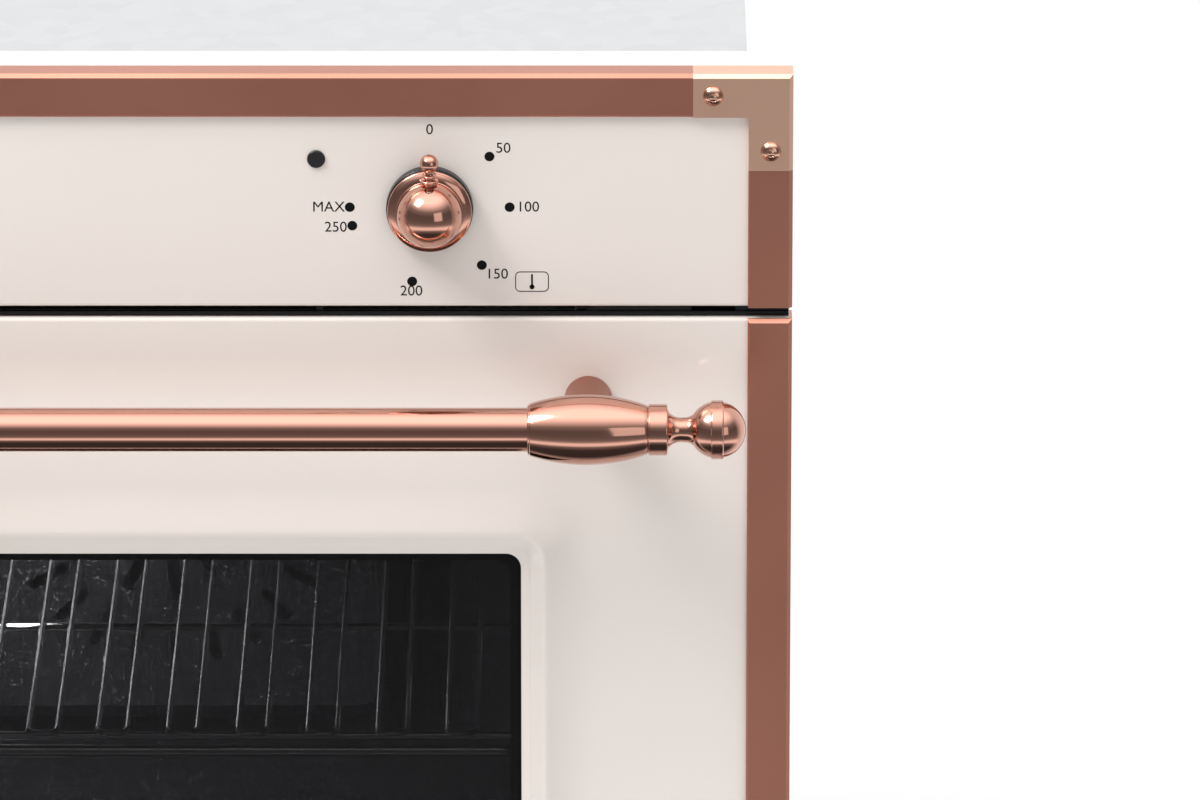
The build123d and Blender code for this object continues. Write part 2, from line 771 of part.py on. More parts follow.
frame_half = hinge_x - half_channel
door_frame_low = door_foot + 9.0
door_frame_high = door_top - 6.0
with BuildPart() as door_frame:
    with BuildSketch(front_plane(channel_back)):
        with Locations((0, (door_frame_low + door_frame_high) / 2)):
            Rectangle(2 * frame_half, door_frame_high - door_frame_low)
            Rectangle(2 * frame_half - 28.0, door_frame_high - door_frame_low - 60.0, mode=Mode.SUBTRACT)
    extrude(amount=sheet)
    for level in (door_frame_low, door_frame_high - sheet):
        with BuildSketch(Plane.XY.offset(level)):
            with Locations((0, (channel_y + channel_back) / 2)):
                Rectangle(2 * frame_half, channel_back - channel_y)
                with GridLocations(36.0, 1.0, 11, 1):
                    Rectangle(26.0, 7.0, mode=Mode.SUBTRACT)
        extrude(amount=sheet)
write(door_frame.part, "door_frame")

inner_pane_low = pivot_height + 14.0
inner_pane_high = door_top - 7.0
with BuildPart() as inner_glass:
    with BuildSketch(front_plane(inner_pane_y)):
        with Locations((0, (inner_pane_low + inner_pane_high) / 2)):
            RectangleRounded(512.0, inner_pane_high - inner_pane_low, 10.0)
    extrude(amount=-glass_thickness)
write(inner_glass.part, "inner_glass")


# Front frame of the chassis, with the oven mouth, hinge slots and cabinet screw holes
frame_low = 10.0
frame_high = door_top + 0.6
with BuildPart() as front_frame:
    with BuildSketch(front_plane(cabinet_y)):
        with Locations((0, (frame_low + frame_high) / 2)):
            RectangleRounded(584.0, frame_high - frame_low, 4.0)
        with Locations((0, cavity_z)):
            RectangleRounded(cavity_width, cavity_height, cavity_corner, mode=Mode.SUBTRACT)
        with Locations((-hinge_x, pivot_height), (hinge_x, pivot_height)):
            Rectangle(arm_thickness + 4.0, arm_height + 8.0 + 2 * running, mode=Mode.SUBTRACT)
        for z in (cabinet_screw_low, cabinet_screw_high):
            with Locations((-cabinet_screw_x, z), (cabinet_screw_x, z)):
                Circle(cabinet_screw_radius, mode=Mode.SUBTRACT)
    extrude(amount=frame_thickness)
write(front_frame.part, "front_frame")

# Door seal on the front frame
with BuildPart() as door_seal:
    with BuildSketch(front_plane(cabinet_y - frame_thickness)):
        with Locations((0, cavity_z)):
            RectangleRounded(cavity_width + 8 + 2 * seal_width, cavity_height + 8 + 2 * seal_width, cavity_corner + 11)
            RectangleRounded(cavity_width + 8, cavity_height + 8, cavity_corner + 4, mode=Mode.SUBTRACT)
    extrude(amount=cabinet_y - frame_thickness - running - inner_pane_y - glass_thickness)
    fillet(door_seal.edges().group_by(Axis.Y)[0], 2.6)
write(door_seal.part, "door_seal")

# Enamelled cavity: the wrapped walls with a front lip, and the back wall
with BuildPart() as cavity_walls:
    with BuildSketch(front_plane(cabinet_y)):
        with Locations((0, cavity_z)):
            RectangleRounded(cavity_width + 2 * lip, cavity_height + 2 * lip, cavity_corner + lip)
    extrude(amount=-sheet)
    with BuildSketch(front_plane(cabinet_y)):
        with Locations((0, cavity_z)):
            RectangleRounded(cavity_width + 2 * sheet, cavity_height + 2 * sheet, cavity_corner + sheet)
    extrude(amount=-cavity_depth)
    with BuildSketch(front_plane(cabinet_y)):
        with Locations((0, cavity_z)):
            RectangleRounded(cavity_width, cavity_height, cavity_corner)
    extrude(amount=-cavity_depth, mode=Mode.SUBTRACT)
write(cavity_walls.part, "cavity_walls")

fan_z = cavity_z
oven_lamp_x = 165.0
oven_lamp_z = cavity_floor + cavity_height - 58.0
element_z = cavity_floor + cavity_height - 20.0
element_radius = 3.25
grill_runs = 6
grill_pitch = 48.0
grill_half = grill_pitch * (grill_runs - 1) / 2
roof_half = 182.0
ring_radius = 88.0
ring_y = cavity_back_y - 14.0
ring_terminal_gap = 16.0
with BuildPart() as cavity_back:
    with BuildSketch(front_plane(cavity_back_y)):
        with Locations((0, cavity_z)):
            RectangleRounded(cavity_width + 2 * sheet, cavity_height + 2 * sheet, cavity_corner + sheet)
        with Locations((0, fan_z)):
            Circle(6.0, mode=Mode.SUBTRACT)
        with Locations(
            (-roof_half, element_z), (roof_half, element_z), (-grill_half, element_z), (grill_half, element_z)
        ):
            Circle(element_radius + seat, mode=Mode.SUBTRACT)
        with Locations((-ring_terminal_gap / 2, fan_z - ring_radius), (ring_terminal_gap / 2, fan_z - ring_radius)):
            Circle(element_radius + seat, mode=Mode.SUBTRACT)
        with Locations((oven_lamp_x, oven_lamp_z)):
            Circle(22.0, mode=Mode.SUBTRACT)
    extrude(amount=-sheet)
write(cavity_back.part, "cavity_back")


# Heating elements: bent tubes that end behind the back wall
def bent_tube(points, corner, radius):
    with BuildPart() as tube:
        with BuildLine() as path:
            FilletPolyline(*points, radius=corner)
        with BuildSketch(Plane(origin=path.line @ 0, z_dir=path.line % 0)):
            Circle(radius)
        sweep()
    return tube.part


terminal_y = cavity_back_y + 38.0
roof_front = cabinet_y + 42.0
roof_points = [
    (-roof_half, terminal_y, element_z),
    (-roof_half, roof_front, element_z),
    (roof_half, roof_front, element_z),
    (roof_half, terminal_y, element_z),
]
write(bent_tube(roof_points, 22.0, element_radius), "roof_element")

grill_front = roof_front + 40.0
grill_rear = cavity_back_y - 45.0
grill_points = [(-grill_half, terminal_y, element_z)]
for run in range(grill_runs):
    x = -grill_half + run * grill_pitch
    ends = (grill_rear, grill_front) if run % 2 == 0 else (grill_front, grill_rear)
    if run > 0:
        grill_points.append((x, ends[0], element_z))
    if run < grill_runs - 1:
        grill_points.append((x, ends[1], element_z))
grill_points.append((grill_half, terminal_y, element_z))
write(bent_tube(grill_points, 16.0, element_radius), "grill_element")

floor_element_z = cavity_floor - sheet - element_radius
floor_points = [
    (-60.0, terminal_y, floor_element_z),
    (-60.0, cavity_back_y - 60.0, floor_element_z),
    (-170.0, cavity_back_y - 60.0, floor_element_z),
    (-170.0, roof_front + 10.0, floor_element_z),
    (170.0, roof_front + 10.0, floor_element_z),
    (170.0, cavity_back_y - 60.0, floor_element_z),
    (60.0, cavity_back_y - 60.0, floor_element_z),
    (60.0, terminal_y, floor_element_z),
]
write(bent_tube(floor_points, 20.0, element_radius), "floor_element")

with BuildPart() as ring_element:
    start = ring_terminal_gap / 2
    low = fan_z - sqrt(ring_radius**2 - start**2)
    with BuildLine() as ring_path:
        ThreePointArc((-start, ring_y, low), (0, ring_y, fan_z + ring_radius), (start, ring_y, low))
    with BuildSketch(Plane(origin=ring_path.line @ 0, z_dir=ring_path.line % 0)):
        Circle(element_radius)
    sweep()
    with BuildSketch(front_plane(ring_y - element_radius)):
        with Locations((-start, fan_z - ring_radius), (start, fan_z - ring_radius)):
            Circle(element_radius)
    extrude(amount=-(terminal_y - ring_y + element_radius))
write(ring_element.part, "ring_element")

# Convection fan in front of the back wall, its motor behind, and the slotted cover
fan_front = cavity_back_y - 24.0
with BuildPart() as fan_impeller:
    with BuildSketch(front_plane(cavity_back_y - 4.0, 0, fan_z)):
        Circle(66.0)
    extrude(amount=1.0)
    with BuildSketch(front_plane(cavity_back_y - 4.6, 0, fan_z)):
        Circle(9.0)
        with PolarLocations(48.0, 12):
            Rectangle(34.0, 1.4, rotation=28.0)
    extrude(amount=17.0)
    with BuildSketch(front_plane(cavity_back_y + sheet + 20.0, 0, fan_z)):
        Circle(3.0)
    extrude(amount=sheet + 42.5)
write(fan_impeller.part, "fan_impeller")

motor_front = cavity_back_y + sheet
with BuildPart() as fan_motor:
    with BuildSketch(front_plane(motor_front, 0, fan_z)):
        RectangleRounded(74.0, 74.0, 6.0)
    extrude(amount=-2.0)
    with BuildSketch(front_plane(motor_front + 2.0, 0, fan_z)):
        Circle(34.0)
    extrude(amount=-40.0)
    fillet(fan_motor.edges().group_by(Axis.Y)[-1], 4.0)
    with BuildSketch(front_plane(motor_front, 0, fan_z)):
        Circle(3.08)
    extrude(amount=-21.0, mode=Mode.SUBTRACT)
write(fan_motor.part, "fan_motor")

cover_size = 226.0
cover_depth = 30.0
with BuildPart() as fan_cover:
    with BuildSketch(front_plane(cavity_back_y)):
        with Locations((0, fan_z)):
            RectangleRounded(cover_size, cover_size, 24.0)
    extrude(amount=cover_depth)
    chamfer(fan_cover.edges().group_by(Axis.Y)[0], 9.0)
    offset(amount=-sheet, openings=fan_cover.faces().sort_by(Axis.Y)[-1])
    with BuildSketch(front_plane(cavity_back_y - cover_depth - 1.0, 0, fan_z)):
        with PolarLocations(34.0, 12):
            SlotOverall(30.0, 6.0)
        with PolarLocations(72.0, 24):
            SlotOverall(22.0, 5.0)
        Circle(6.0)
    extrude(amount=-5.0, mode=Mode.SUBTRACT)
write(fan_cover.part, "fan_cover")

# Oven lamp: a glass cap screwed on its ceramic holder
with BuildPart() as oven_lamp:
    with BuildSketch(front_plane(cavity_back_y, oven_lamp_x, oven_lamp_z)):
        Circle(25.0)
    extrude(amount=10.0)
    fillet(oven_lamp.edges().group_by(Axis.Y)[0], 7.0)
    with BuildSketch(front_plane(cavity_back_y, oven_lamp_x, oven_lamp_z)):
        Circle(21.5)
    extrude(amount=-28.0)
    with BuildSketch(front_plane(cavity_back_y + 28.0, oven_lamp_x, oven_lamp_z)):
        Circle(13.0)
    extrude(amount=-16.0)
write(oven_lamp.part, "oven_lamp")

# Shelf ladders of bent wire on the side walls
ladder_x = cavity_width / 2 - ladder_wire_radius
ladder_low = cavity_floor + 26.0
ladder_high = cavity_floor + cavity_height - 40.0
ladder_front = shelf_front_y + 26.0
ladder_back = shelf_back_y - 26.0
rung_x = ladder_x - 2 * ladder_wire_radius + 0.5
shelf_width = 2 * (ladder_x - ladder_wire_radius - 0.6 - shelf_frame_radius)
with BuildPart() as shelf_ladder:
    with BuildSketch(Plane.XY.offset(ladder_low)):
        with Locations((ladder_x, ladder_front), (ladder_x, ladder_back)):
            Circle(ladder_wire_radius)
    extrude(amount=ladder_high - ladder_low)
    for level in range(ladder_levels):
        height = shelf_level + (level - ladder_levels // 2) * ladder_pitch
        below = height - shelf_frame_radius - ladder_wire_radius - 0.1
        above = height + shelf_frame_radius + ladder_wire_radius + 2.0
        with BuildSketch(front_plane(ladder_back + 12.0)):
            with Locations((rung_x, below), (rung_x, above)):
                Circle(ladder_wire_radius)
        extrude(amount=ladder_back - ladder_front + 24.0)
write_both(shelf_ladder.part, "shelf_ladders")

# Wire shelf: a round wire frame, with two cross wires and hairpins of six-sided wire laid on them
with BuildPart() as wire_shelf:
    cross_half = shelf_width / 2
    with BuildLine() as half_frame:
        FilletPolyline(
            (0, shelf_front_y, shelf_level),
            (cross_half, shelf_front_y, shelf_level),
            (cross_half, shelf_back_y, shelf_level),
            (0, shelf_back_y, shelf_level),
            radius=16.0,
        )
    with BuildSketch(Plane(origin=half_frame.line @ 0, z_dir=half_frame.line % 0)):
        Circle(shelf_frame_radius)
    sweep(path=half_frame.line)
    mirror(about=Plane.YZ)
    wire_top = shelf_level + shelf_frame_radius - 0.3
    for y in (shelf_front_y + hairpin_setback + 6.0, (shelf_front_y + shelf_back_y) / 2):
        with BuildSketch(side_plane(-cross_half)):
            with Locations((y, wire_top - 2.0)):
                RegularPolygon(2.0, 6)
        extrude(amount=2 * cross_half)
    hairpin_z = wire_top + shelf_wire_radius - 0.3
    half_gap = hairpin_gap / 2
    for pin in range(hairpins):
        x = (pin - (hairpins - 1) / 2) * hairpin_pitch
        turn_y = shelf_front_y + hairpin_setback + half_gap
        with BuildLine() as pin_path:
            leg = Line((x - half_gap, shelf_back_y, hairpin_z), (x - half_gap, turn_y, hairpin_z))
            bend = ThreePointArc(leg @ 1, (x, turn_y - half_gap, hairpin_z), (x + half_gap, turn_y, hairpin_z))
            Line(bend @ 1, (x + half_gap, shelf_back_y, hairpin_z))
        with BuildSketch(Plane(origin=pin_path.line @ 0, z_dir=pin_path.line % 0)):
            RegularPolygon(shelf_wire_radius, 6)
        sweep(path=pin_path.line)
write(wire_shelf.part, "wire_shelf")

# Insulation wrapped round the cavity
wool_back = cavity_back_y + 30.0
pocket_low = cavity_floor - 14.0  # room for the floor element
with BuildPart() as insulation:
    with BuildSketch(front_plane(cabinet_y + 8.0)):
        with Locations((0, (wool_low + cavity_floor + cavity_height + sheet + wool) / 2)):
            RectangleRounded(
                cavity_width + 2 * (sheet + lip + 2 + wool / 2),
                cavity_floor + cavity_height + sheet + wool - wool_low,
                24.0,
            )
    extrude(amount=-(wool_back - cabinet_y - 8.0))
    with BuildSketch(front_plane(cabinet_y)):
        with Locations((0, (pocket_low + cavity_floor + cavity_height + sheet + running) / 2)):
            RectangleRounded(
                cavity_width + 2 * (sheet + running),
                cavity_floor + cavity_height + sheet + running - pocket_low,
                cavity_corner,
            )
    extrude(amount=-(cavity_depth + sheet + running), mode=Mode.SUBTRACT)
    with BuildSketch(front_plane(cabinet_y + cavity_depth)):
        with Locations((0, fan_z)):
            Rectangle(80.0, 80.0)
        with Locations((oven_lamp_x, oven_lamp_z)):
            Circle(24.0)
        for x, z in (
            (roof_half, element_z),
            (grill_half, element_z),
            (60.0, floor_element_z),
            (ring_terminal_gap / 2, fan_z - ring_radius),
        ):
            with Locations((-x, z), (x, z)):
                Circle(element_radius + 1.0)
    extrude(amount=-60.0, mode=Mode.SUBTRACT)
write(insulation.part, "insulation_blanket")


# Chassis: base pan with two rails, a wrap for sides and top, and the rear cover
side_x = chassis_width / 2
inside_x = side_x - sheet
with BuildPart() as base_pan:
    with BuildSketch(front_plane(cabinet_y)):
        with Locations((0, 7.0)):
            Rectangle(2 * inside_x, 14.0)
        with Locations((0, 7.0 + sheet)):
            Rectangle(2 * (inside_x - sheet), 14.0, mode=Mode.SUBTRACT)
    extrude(amount=-(chassis_depth - sheet))
    with BuildSketch(Plane.XY):
        with Locations((0, (cabinet_y + back_y) / 2 + 60)):
            with GridLocations(60.0, 90.0, 7, 3):
                Rectangle(42.0, 6.0)
    extrude(amount=sheet, mode=Mode.SUBTRACT)
    rail_height = wool_low - running
    for x in (-150.0, 150.0):
        with BuildSketch(front_plane(cabinet_y + 60.0)):
            with Locations((x, rail_height / 2)):
                Rectangle(20.0, rail_height)
            with Locations((x, (rail_height - sheet) / 2)):
                Rectangle(20.0 - 2 * sheet, rail_height - sheet, mode=Mode.SUBTRACT)
        extrude(amount=-340.0)
write(base_pan.part, "base_pan")

with BuildPart() as outer_wrap:
    with BuildSketch(front_plane(cabinet_y)):
        with Locations((0, chassis_height / 2)):
            Rectangle(chassis_width, chassis_height)
        with Locations((0, (chassis_height - sheet) / 2)):
            Rectangle(2 * inside_x, chassis_height - sheet, mode=Mode.SUBTRACT)
    extrude(amount=-chassis_depth)
    with BuildSketch(front_plane(cabinet_y)):
        with Locations((-side_x + 7.0, chassis_height / 2), (side_x - 7.0, chassis_height / 2)):
            Rectangle(14.0, chassis_height - 32.0)
    extrude(amount=-sheet)
    with BuildSketch(side_plane(-side_x)):
        with Locations((back_y - 120.0, chassis_height - 60.0)):
            with GridLocations(1.0, 14.0, 1, 5):
                Rectangle(110.0, 5.0)
    extrude(amount=chassis_width, mode=Mode.SUBTRACT)
    with BuildSketch(Plane.XY.offset(chassis_height - sheet)):
        with Locations((0, back_y - 150.0)):
            with GridLocations(60.0, 14.0, 7, 6):
                Rectangle(46.0, 5.0)
    extrude(amount=sheet, mode=Mode.SUBTRACT)
write(outer_wrap.part, "outer_wrap")

terminal_x = -170.0
terminal_z = 500.0
with BuildPart() as rear_cover:
    with BuildSketch(front_plane(back_y - sheet)):
        with Locations((0, (chassis_height - sheet) / 2)):
            Rectangle(2 * inside_x, chassis_height - sheet)
        with Locations((60.0, 500.0)):
            with GridLocations(44.0, 12.0, 6, 5):
                Rectangle(36.0, 5.0, mode=Mode.SUBTRACT)
        with Locations((0, 110.0)):
            with GridLocations(60.0, 14.0, 7, 3):
                Rectangle(46.0, 5.0, mode=Mode.SUBTRACT)
        with Locations((terminal_x, terminal_z)):
            Rectangle(83.0, 51.0, mode=Mode.SUBTRACT)
    extrude(amount=-sheet)
write(rear_cover.part, "rear_cover")

with BuildPart() as terminal_box:
    with BuildSketch(front_plane(back_y, terminal_x, terminal_z)):
        Rectangle(83.0, 51.0)
    extrude(amount=34.0)
    with BuildSketch(front_plane(back_y, terminal_x, terminal_z)):
        with Locations((0, -16.0)):
            Circle(5.0)
    extrude(amount=26.0, mode=Mode.SUBTRACT)
write(terminal_box.part, "terminal_box")

# Cooling air duct over the insulation and the cross-flow blower that feeds it
duct_half = 200.0
duct_low = frame_high
duct_front = strip_front + 6.0
duct_rear = cabinet_y + 230.0
duct_roof = 500.0
duct_wall = 0.8
outline_points = [
    (duct_front, duct_low),
    (duct_rear, duct_low),
    (duct_rear, duct_roof),
    (cabinet_y + 14.0, duct_roof),
    (cabinet_y - 1.0, panel_bottom - 0.4),
    (duct_front, panel_bottom - 0.4),
]
with BuildPart() as cooling_duct:
    with BuildSketch(side_plane(-duct_half)):
        with BuildLine():
            Polyline(*outline_points, close=True)
        make_face()
    extrude(amount=2 * duct_half)
    openings = cooling_duct.faces().filter_by(Axis.Y).sort_by(Axis.Y)
    offset(amount=-duct_wall, openings=[openings[0], openings[-1]])
write(cooling_duct.part, "cooling_duct")

rotor_radius = 27.0
rotor_half = 90.0
rotor_y = duct_rear + 44.0
rotor_z = duct_low + 38.0
with BuildPart() as blower_rotor:
    with BuildSketch(side_plane(-rotor_half)):
        with Locations((rotor_y, rotor_z)):
            with PolarLocations(rotor_radius - 4.0, 20):
                Rectangle(8.0, 0.8, rotation=35.0)
    extrude(amount=2 * rotor_half)
    for x in (-rotor_half, -1.0, rotor_half - 2.0):
        with BuildSketch(side_plane(x)):
            with Locations((rotor_y, rotor_z)):
                Circle(rotor_radius)
        extrude(amount=2.0)
    with BuildSketch(side_plane(-rotor_half - 8.0)):
        with Locations((rotor_y, rotor_z)):
            Circle(2.5)
    extrude(amount=2 * rotor_half + 24.0)
write(blower_rotor.part, "blower_rotor")

housing_half = rotor_half + 4.0
housing_radius = rotor_radius + 6.0
with BuildPart() as blower_housing:
    with BuildSketch(side_plane(-housing_half)) as scroll:
        with Locations((rotor_y, rotor_z)):
            Circle(housing_radius + 1.2)
        with Locations(((duct_rear + rotor_y) / 2, (duct_low + duct_roof) / 2)):
            Rectangle(rotor_y - duct_rear, duct_roof - duct_low)
    extrude(amount=2 * housing_half)
    with BuildSketch(side_plane(-housing_half + 1.2)):
        with Locations((rotor_y, rotor_z)):
            Circle(housing_radius)
        with Locations(((duct_rear + rotor_y) / 2, (duct_low + duct_roof) / 2)):
            Rectangle(rotor_y - duct_rear + 4.0, duct_roof - duct_low - 2.4)
        with Locations((rotor_y + 20.0, rotor_z + 40.0)):
            Rectangle(60.0, 60.0)
    extrude(amount=2 * housing_half - 2.4, mode=Mode.SUBTRACT)
    with BuildSketch(side_plane(-housing_half)):
        with Locations((rotor_y, rotor_z)):
            Circle(2.6)
    extrude(amount=2 * housing_half, mode=Mode.SUBTRACT)
write(blower_housing.part, "blower_housing")

with BuildPart() as blower_motor:
    with BuildSketch(side_plane(housing_half)):
        with Locations((rotor_y, rotor_z)):
            Circle(28.0)
    extrude(amount=38.0)
    fillet(blower_motor.edges().group_by(Axis.X)[-1], 3.0)
    with BuildSketch(side_plane(housing_half)):
        with Locations((rotor_y, rotor_z)):
            Circle(2.58)
    extrude(amount=16.0, mode=Mode.SUBTRACT)
write(blower_motor.part, "blower_motor")
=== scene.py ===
import bmesh
import bpy
import json
from math import acos, asin, atan2, cos, pi, radians, sin, sqrt
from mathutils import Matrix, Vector


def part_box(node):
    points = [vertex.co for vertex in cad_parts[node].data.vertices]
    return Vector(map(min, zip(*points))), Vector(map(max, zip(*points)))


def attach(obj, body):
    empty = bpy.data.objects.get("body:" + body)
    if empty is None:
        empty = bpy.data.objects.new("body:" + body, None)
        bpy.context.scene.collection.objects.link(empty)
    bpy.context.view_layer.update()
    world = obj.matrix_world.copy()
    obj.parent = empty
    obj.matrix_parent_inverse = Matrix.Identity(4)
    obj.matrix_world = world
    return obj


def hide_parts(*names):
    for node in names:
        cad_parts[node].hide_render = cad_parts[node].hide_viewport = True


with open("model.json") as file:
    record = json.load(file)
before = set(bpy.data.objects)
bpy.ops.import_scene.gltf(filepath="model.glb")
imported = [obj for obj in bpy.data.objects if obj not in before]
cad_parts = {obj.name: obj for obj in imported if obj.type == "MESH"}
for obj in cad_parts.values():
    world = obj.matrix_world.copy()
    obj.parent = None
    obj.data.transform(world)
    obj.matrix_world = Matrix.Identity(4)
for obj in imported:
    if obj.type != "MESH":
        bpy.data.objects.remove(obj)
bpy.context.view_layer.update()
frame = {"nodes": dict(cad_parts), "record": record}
nodes = frame["nodes"]

# Sizes in millimetres, as in the CAD
TOP = 595.0
WIDTH = 595.0
FACE = -262.5
CABINET = -221.5
DOOR_TOP = 479.5
PAN_LOW = 6.0
KNOB_X = 134.0
KNOB_Z = 532.0
HANDLE_Y = FACE - 45.0
HANDLE_Z = 441.3
WINDOW_Z = 232.2
WINDOW_W = 349.5
WINDOW_H = 270.0
HINGE_X = 236.0
HAIRPINS = 12
HAIRPIN_PITCH = 32.6
HAIRPIN_HALF = 6.8
SHELF_CORNER = 16
DIAL_RADIUS = 36.0
PRINT_DEPTH = 0.06


def mm(*values):
    return tuple(0.001 * v for v in values)


# Materials
def new_material(name, color, roughness, metallic=0.0, coat=0.0, alpha=1.0, ior=1.5):
    material = bpy.data.materials.new(name)
    material.use_nodes = True
    shader = material.node_tree.nodes["Principled BSDF"]
    shader.inputs["Base Color"].default_value = (*color, 1.0)
    shader.inputs["Roughness"].default_value = roughness
    shader.inputs["Metallic"].default_value = metallic
    shader.inputs["Coat Weight"].default_value = coat
    shader.inputs["Alpha"].default_value = alpha
    shader.inputs["IOR"].default_value = ior
    return material, shader


def texture_group(name, stretch, scale, detail, depth):
    """A node group that spreads a given roughness and bumps the normal with stretched noise."""
    group = bpy.data.node_groups.new(name, "ShaderNodeTree")
    group.interface.new_socket("Roughness", in_out="INPUT", socket_type="NodeSocketFloat")
    group.interface.new_socket("Spread", in_out="INPUT", socket_type="NodeSocketFloat")
    group.interface.new_socket("Roughness", in_out="OUTPUT", socket_type="NodeSocketFloat")
    group.interface.new_socket("Normal", in_out="OUTPUT", socket_type="NodeSocketVector")
    made = group.nodes
    inputs = made.new("NodeGroupInput")
    outputs = made.new("NodeGroupOutput")
    place = made.new("ShaderNodeTexCoord")
    mapping = made.new("ShaderNodeMapping")
    mapping.inputs["Scale"].default_value = stretch
    noise = made.new("ShaderNodeTexNoise")
    noise.inputs["Scale"].default_value = scale
    noise.inputs["Detail"].default_value = detail
    centred = made.new("ShaderNodeMath")
    centred.operation = "SUBTRACT"
    centred.inputs[1].default_value = 0.5
    spread = made.new("ShaderNodeMath")
    spread.operation = "MULTIPLY_ADD"
    bump = made.new("ShaderNodeBump")
    bump.inputs["Strength"].default_value = 1.0
    bump.inputs["Distance"].default_value = depth
    join = group.links.new
    join(place.outputs["Object"], mapping.inputs["Vector"])
    join(mapping.outputs["Vector"], noise.inputs["Vector"])
    join(noise.outputs["Fac"], centred.inputs[0])
    join(centred.outputs[0], spread.inputs[0])
    join(inputs.outputs["Spread"], spread.inputs[1])
    join(inputs.outputs["Roughness"], spread.inputs[2])
    join(spread.outputs[0], outputs.inputs["Roughness"])
    join(noise.outputs["Fac"], bump.inputs["Height"])
    join(bump.outputs["Normal"], outputs.inputs["Normal"])
    return group


peel = texture_group("orange_peel", (1, 1, 1), 220.0, 2.0, 0.00002)
satin = texture_group("satin_metal", (1, 1, 1), 900.0, 3.0, 0.000006)
polish = texture_group("polished_metal", (1, 1, 1), 90.0, 3.0, 0.000004)
felt = texture_group("mineral_wool", (1, 1, 1), 120.0, 8.0, 0.0012)
grain = texture_group("moulded_plastic", (1, 1, 1), 1600.0, 2.0, 0.000008)


def textured(material, shader, group, roughness, spread):
    tree = material.node_tree
    use = tree.nodes.new("ShaderNodeGroup")
    use.node_tree = group
    use.inputs["Roughness"].default_value = roughness
    use.inputs["Spread"].default_value = spread
    tree.links.new(use.outputs["Roughness"], shader.inputs["Roughness"])
    tree.links.new(use.outputs["Normal"], shader.inputs["Normal"])
    return material


def surface(name, color, roughness, group, spread=0.1, **more):
    material, shader = new_material(name, color, roughness, **more)
    return textured(material, shader, group, roughness, spread)


def mottled(material, texture_type, scale, dark, light, low, high):
    """Lets the base colour run from dark to light with a noise or cell texture."""
    tree = material.node_tree
    place = tree.nodes.new("ShaderNodeTexCoord")
    texture = tree.nodes.new(texture_type)
    texture.inputs["Scale"].default_value = scale
    ramp = tree.nodes.new("ShaderNodeValToRGB")
    ramp.color_ramp.elements[0].position = low
    ramp.color_ramp.elements[0].color = (*dark, 1)
    ramp.color_ramp.elements[1].position = high
    ramp.color_ramp.elements[1].color = (*light, 1)
    tree.links.new(place.outputs["Object"], texture.inputs["Vector"])
    source = texture.outputs["Color"] if texture_type == "ShaderNodeTexVoronoi" else texture.outputs["Fac"]
    tree.links.new(source, ramp.inputs["Fac"])
    tree.links.new(ramp.outputs["Color"], tree.nodes["Principled BSDF"].inputs["Base Color"])
    return material


cream = surface("cream enamel", (0.760, 0.700, 0.655), 0.30, peel, 0.06, coat=0.35)
mottled(cream, "ShaderNodeTexNoise", 3.0, (0.745, 0.682, 0.634), (0.775, 0.716, 0.672), 0.35, 0.65)
strip_copper = surface("brushed copper", (0.62, 0.272, 0.194), 0.34, satin, 0.12, metallic=1.0)
mottled(strip_copper, "ShaderNodeTexNoise", 14.0, (0.59, 0.258, 0.184), (0.65, 0.286, 0.204), 0.3, 0.7)
bracket_copper = surface("light copper", (0.98, 0.61, 0.455), 0.36, satin, 0.10, metallic=1.0)
polished_copper = surface("polished copper", (0.66, 0.335, 0.25), 0.12, polish, 0.05, metallic=1.0, coat=0.6)
rivet_copper = surface("rivet copper", (0.74, 0.42, 0.31), 0.14, polish, 0.05, metallic=1.0, coat=0.4)
post_copper = surface("dull copper", (0.42, 0.185, 0.13), 0.42, satin, 0.1, metallic=1.0)
black = surface("black plastic", (0.012, 0.012, 0.013), 0.28, grain, 0.08)
pale_plastic = surface("pale plastic", (0.62, 0.60, 0.54), 0.45, grain, 0.08)
vent_metal = surface("dark strip", (0.030, 0.030, 0.032), 0.22, satin, 0.08, metallic=0.7)
plated = surface("plated steel", (0.60, 0.60, 0.61), 0.32, satin, 0.12, metallic=1.0)
zinc = surface("zinc sheet", (0.76, 0.77, 0.78), 0.30, satin, 0.10, metallic=1.0)
mottled(zinc, "ShaderNodeTexVoronoi", 90.0, (0.74, 0.75, 0.76), (0.78, 0.79, 0.80), 0.1, 0.9)
enamel = surface("speckled enamel", (0.03, 0.03, 0.033), 0.22, peel, 0.06, coat=0.3)
mottled(enamel, "ShaderNodeTexNoise", 700.0, (0.028, 0.028, 0.031), (0.22, 0.22, 0.23), 0.60, 0.72)
wool = surface("mineral wool", (0.62, 0.58, 0.44), 0.95, felt, 0.0)
rubber = surface("black rubber", (0.018, 0.018, 0.018), 0.62, grain, 0.1)
chrome = surface("chromed wire", (0.78, 0.78, 0.79), 0.09, polish, 0.04, metallic=1.0)
heater = surface("element tube", (0.22, 0.21, 0.20), 0.45, satin, 0.12, metallic=0.9)
cast = surface("aluminium", (0.66, 0.67, 0.68), 0.38, satin, 0.12, metallic=1.0)
frit = surface("black glass print", (0.004, 0.004, 0.004), 0.12, polish, 0.03)
window, _ = new_material("dark window glass", (0.006, 0.006, 0.007), 0.02, alpha=0.50, ior=1.42)
pane, _ = new_material("clear glass", (0.02, 0.022, 0.022), 0.02, alpha=0.14)
ink, ink_shader = new_material("printed ink", (0.004, 0.004, 0.004), 0.7)
ink_shader.inputs["Specular IOR Level"].default_value = 0.15

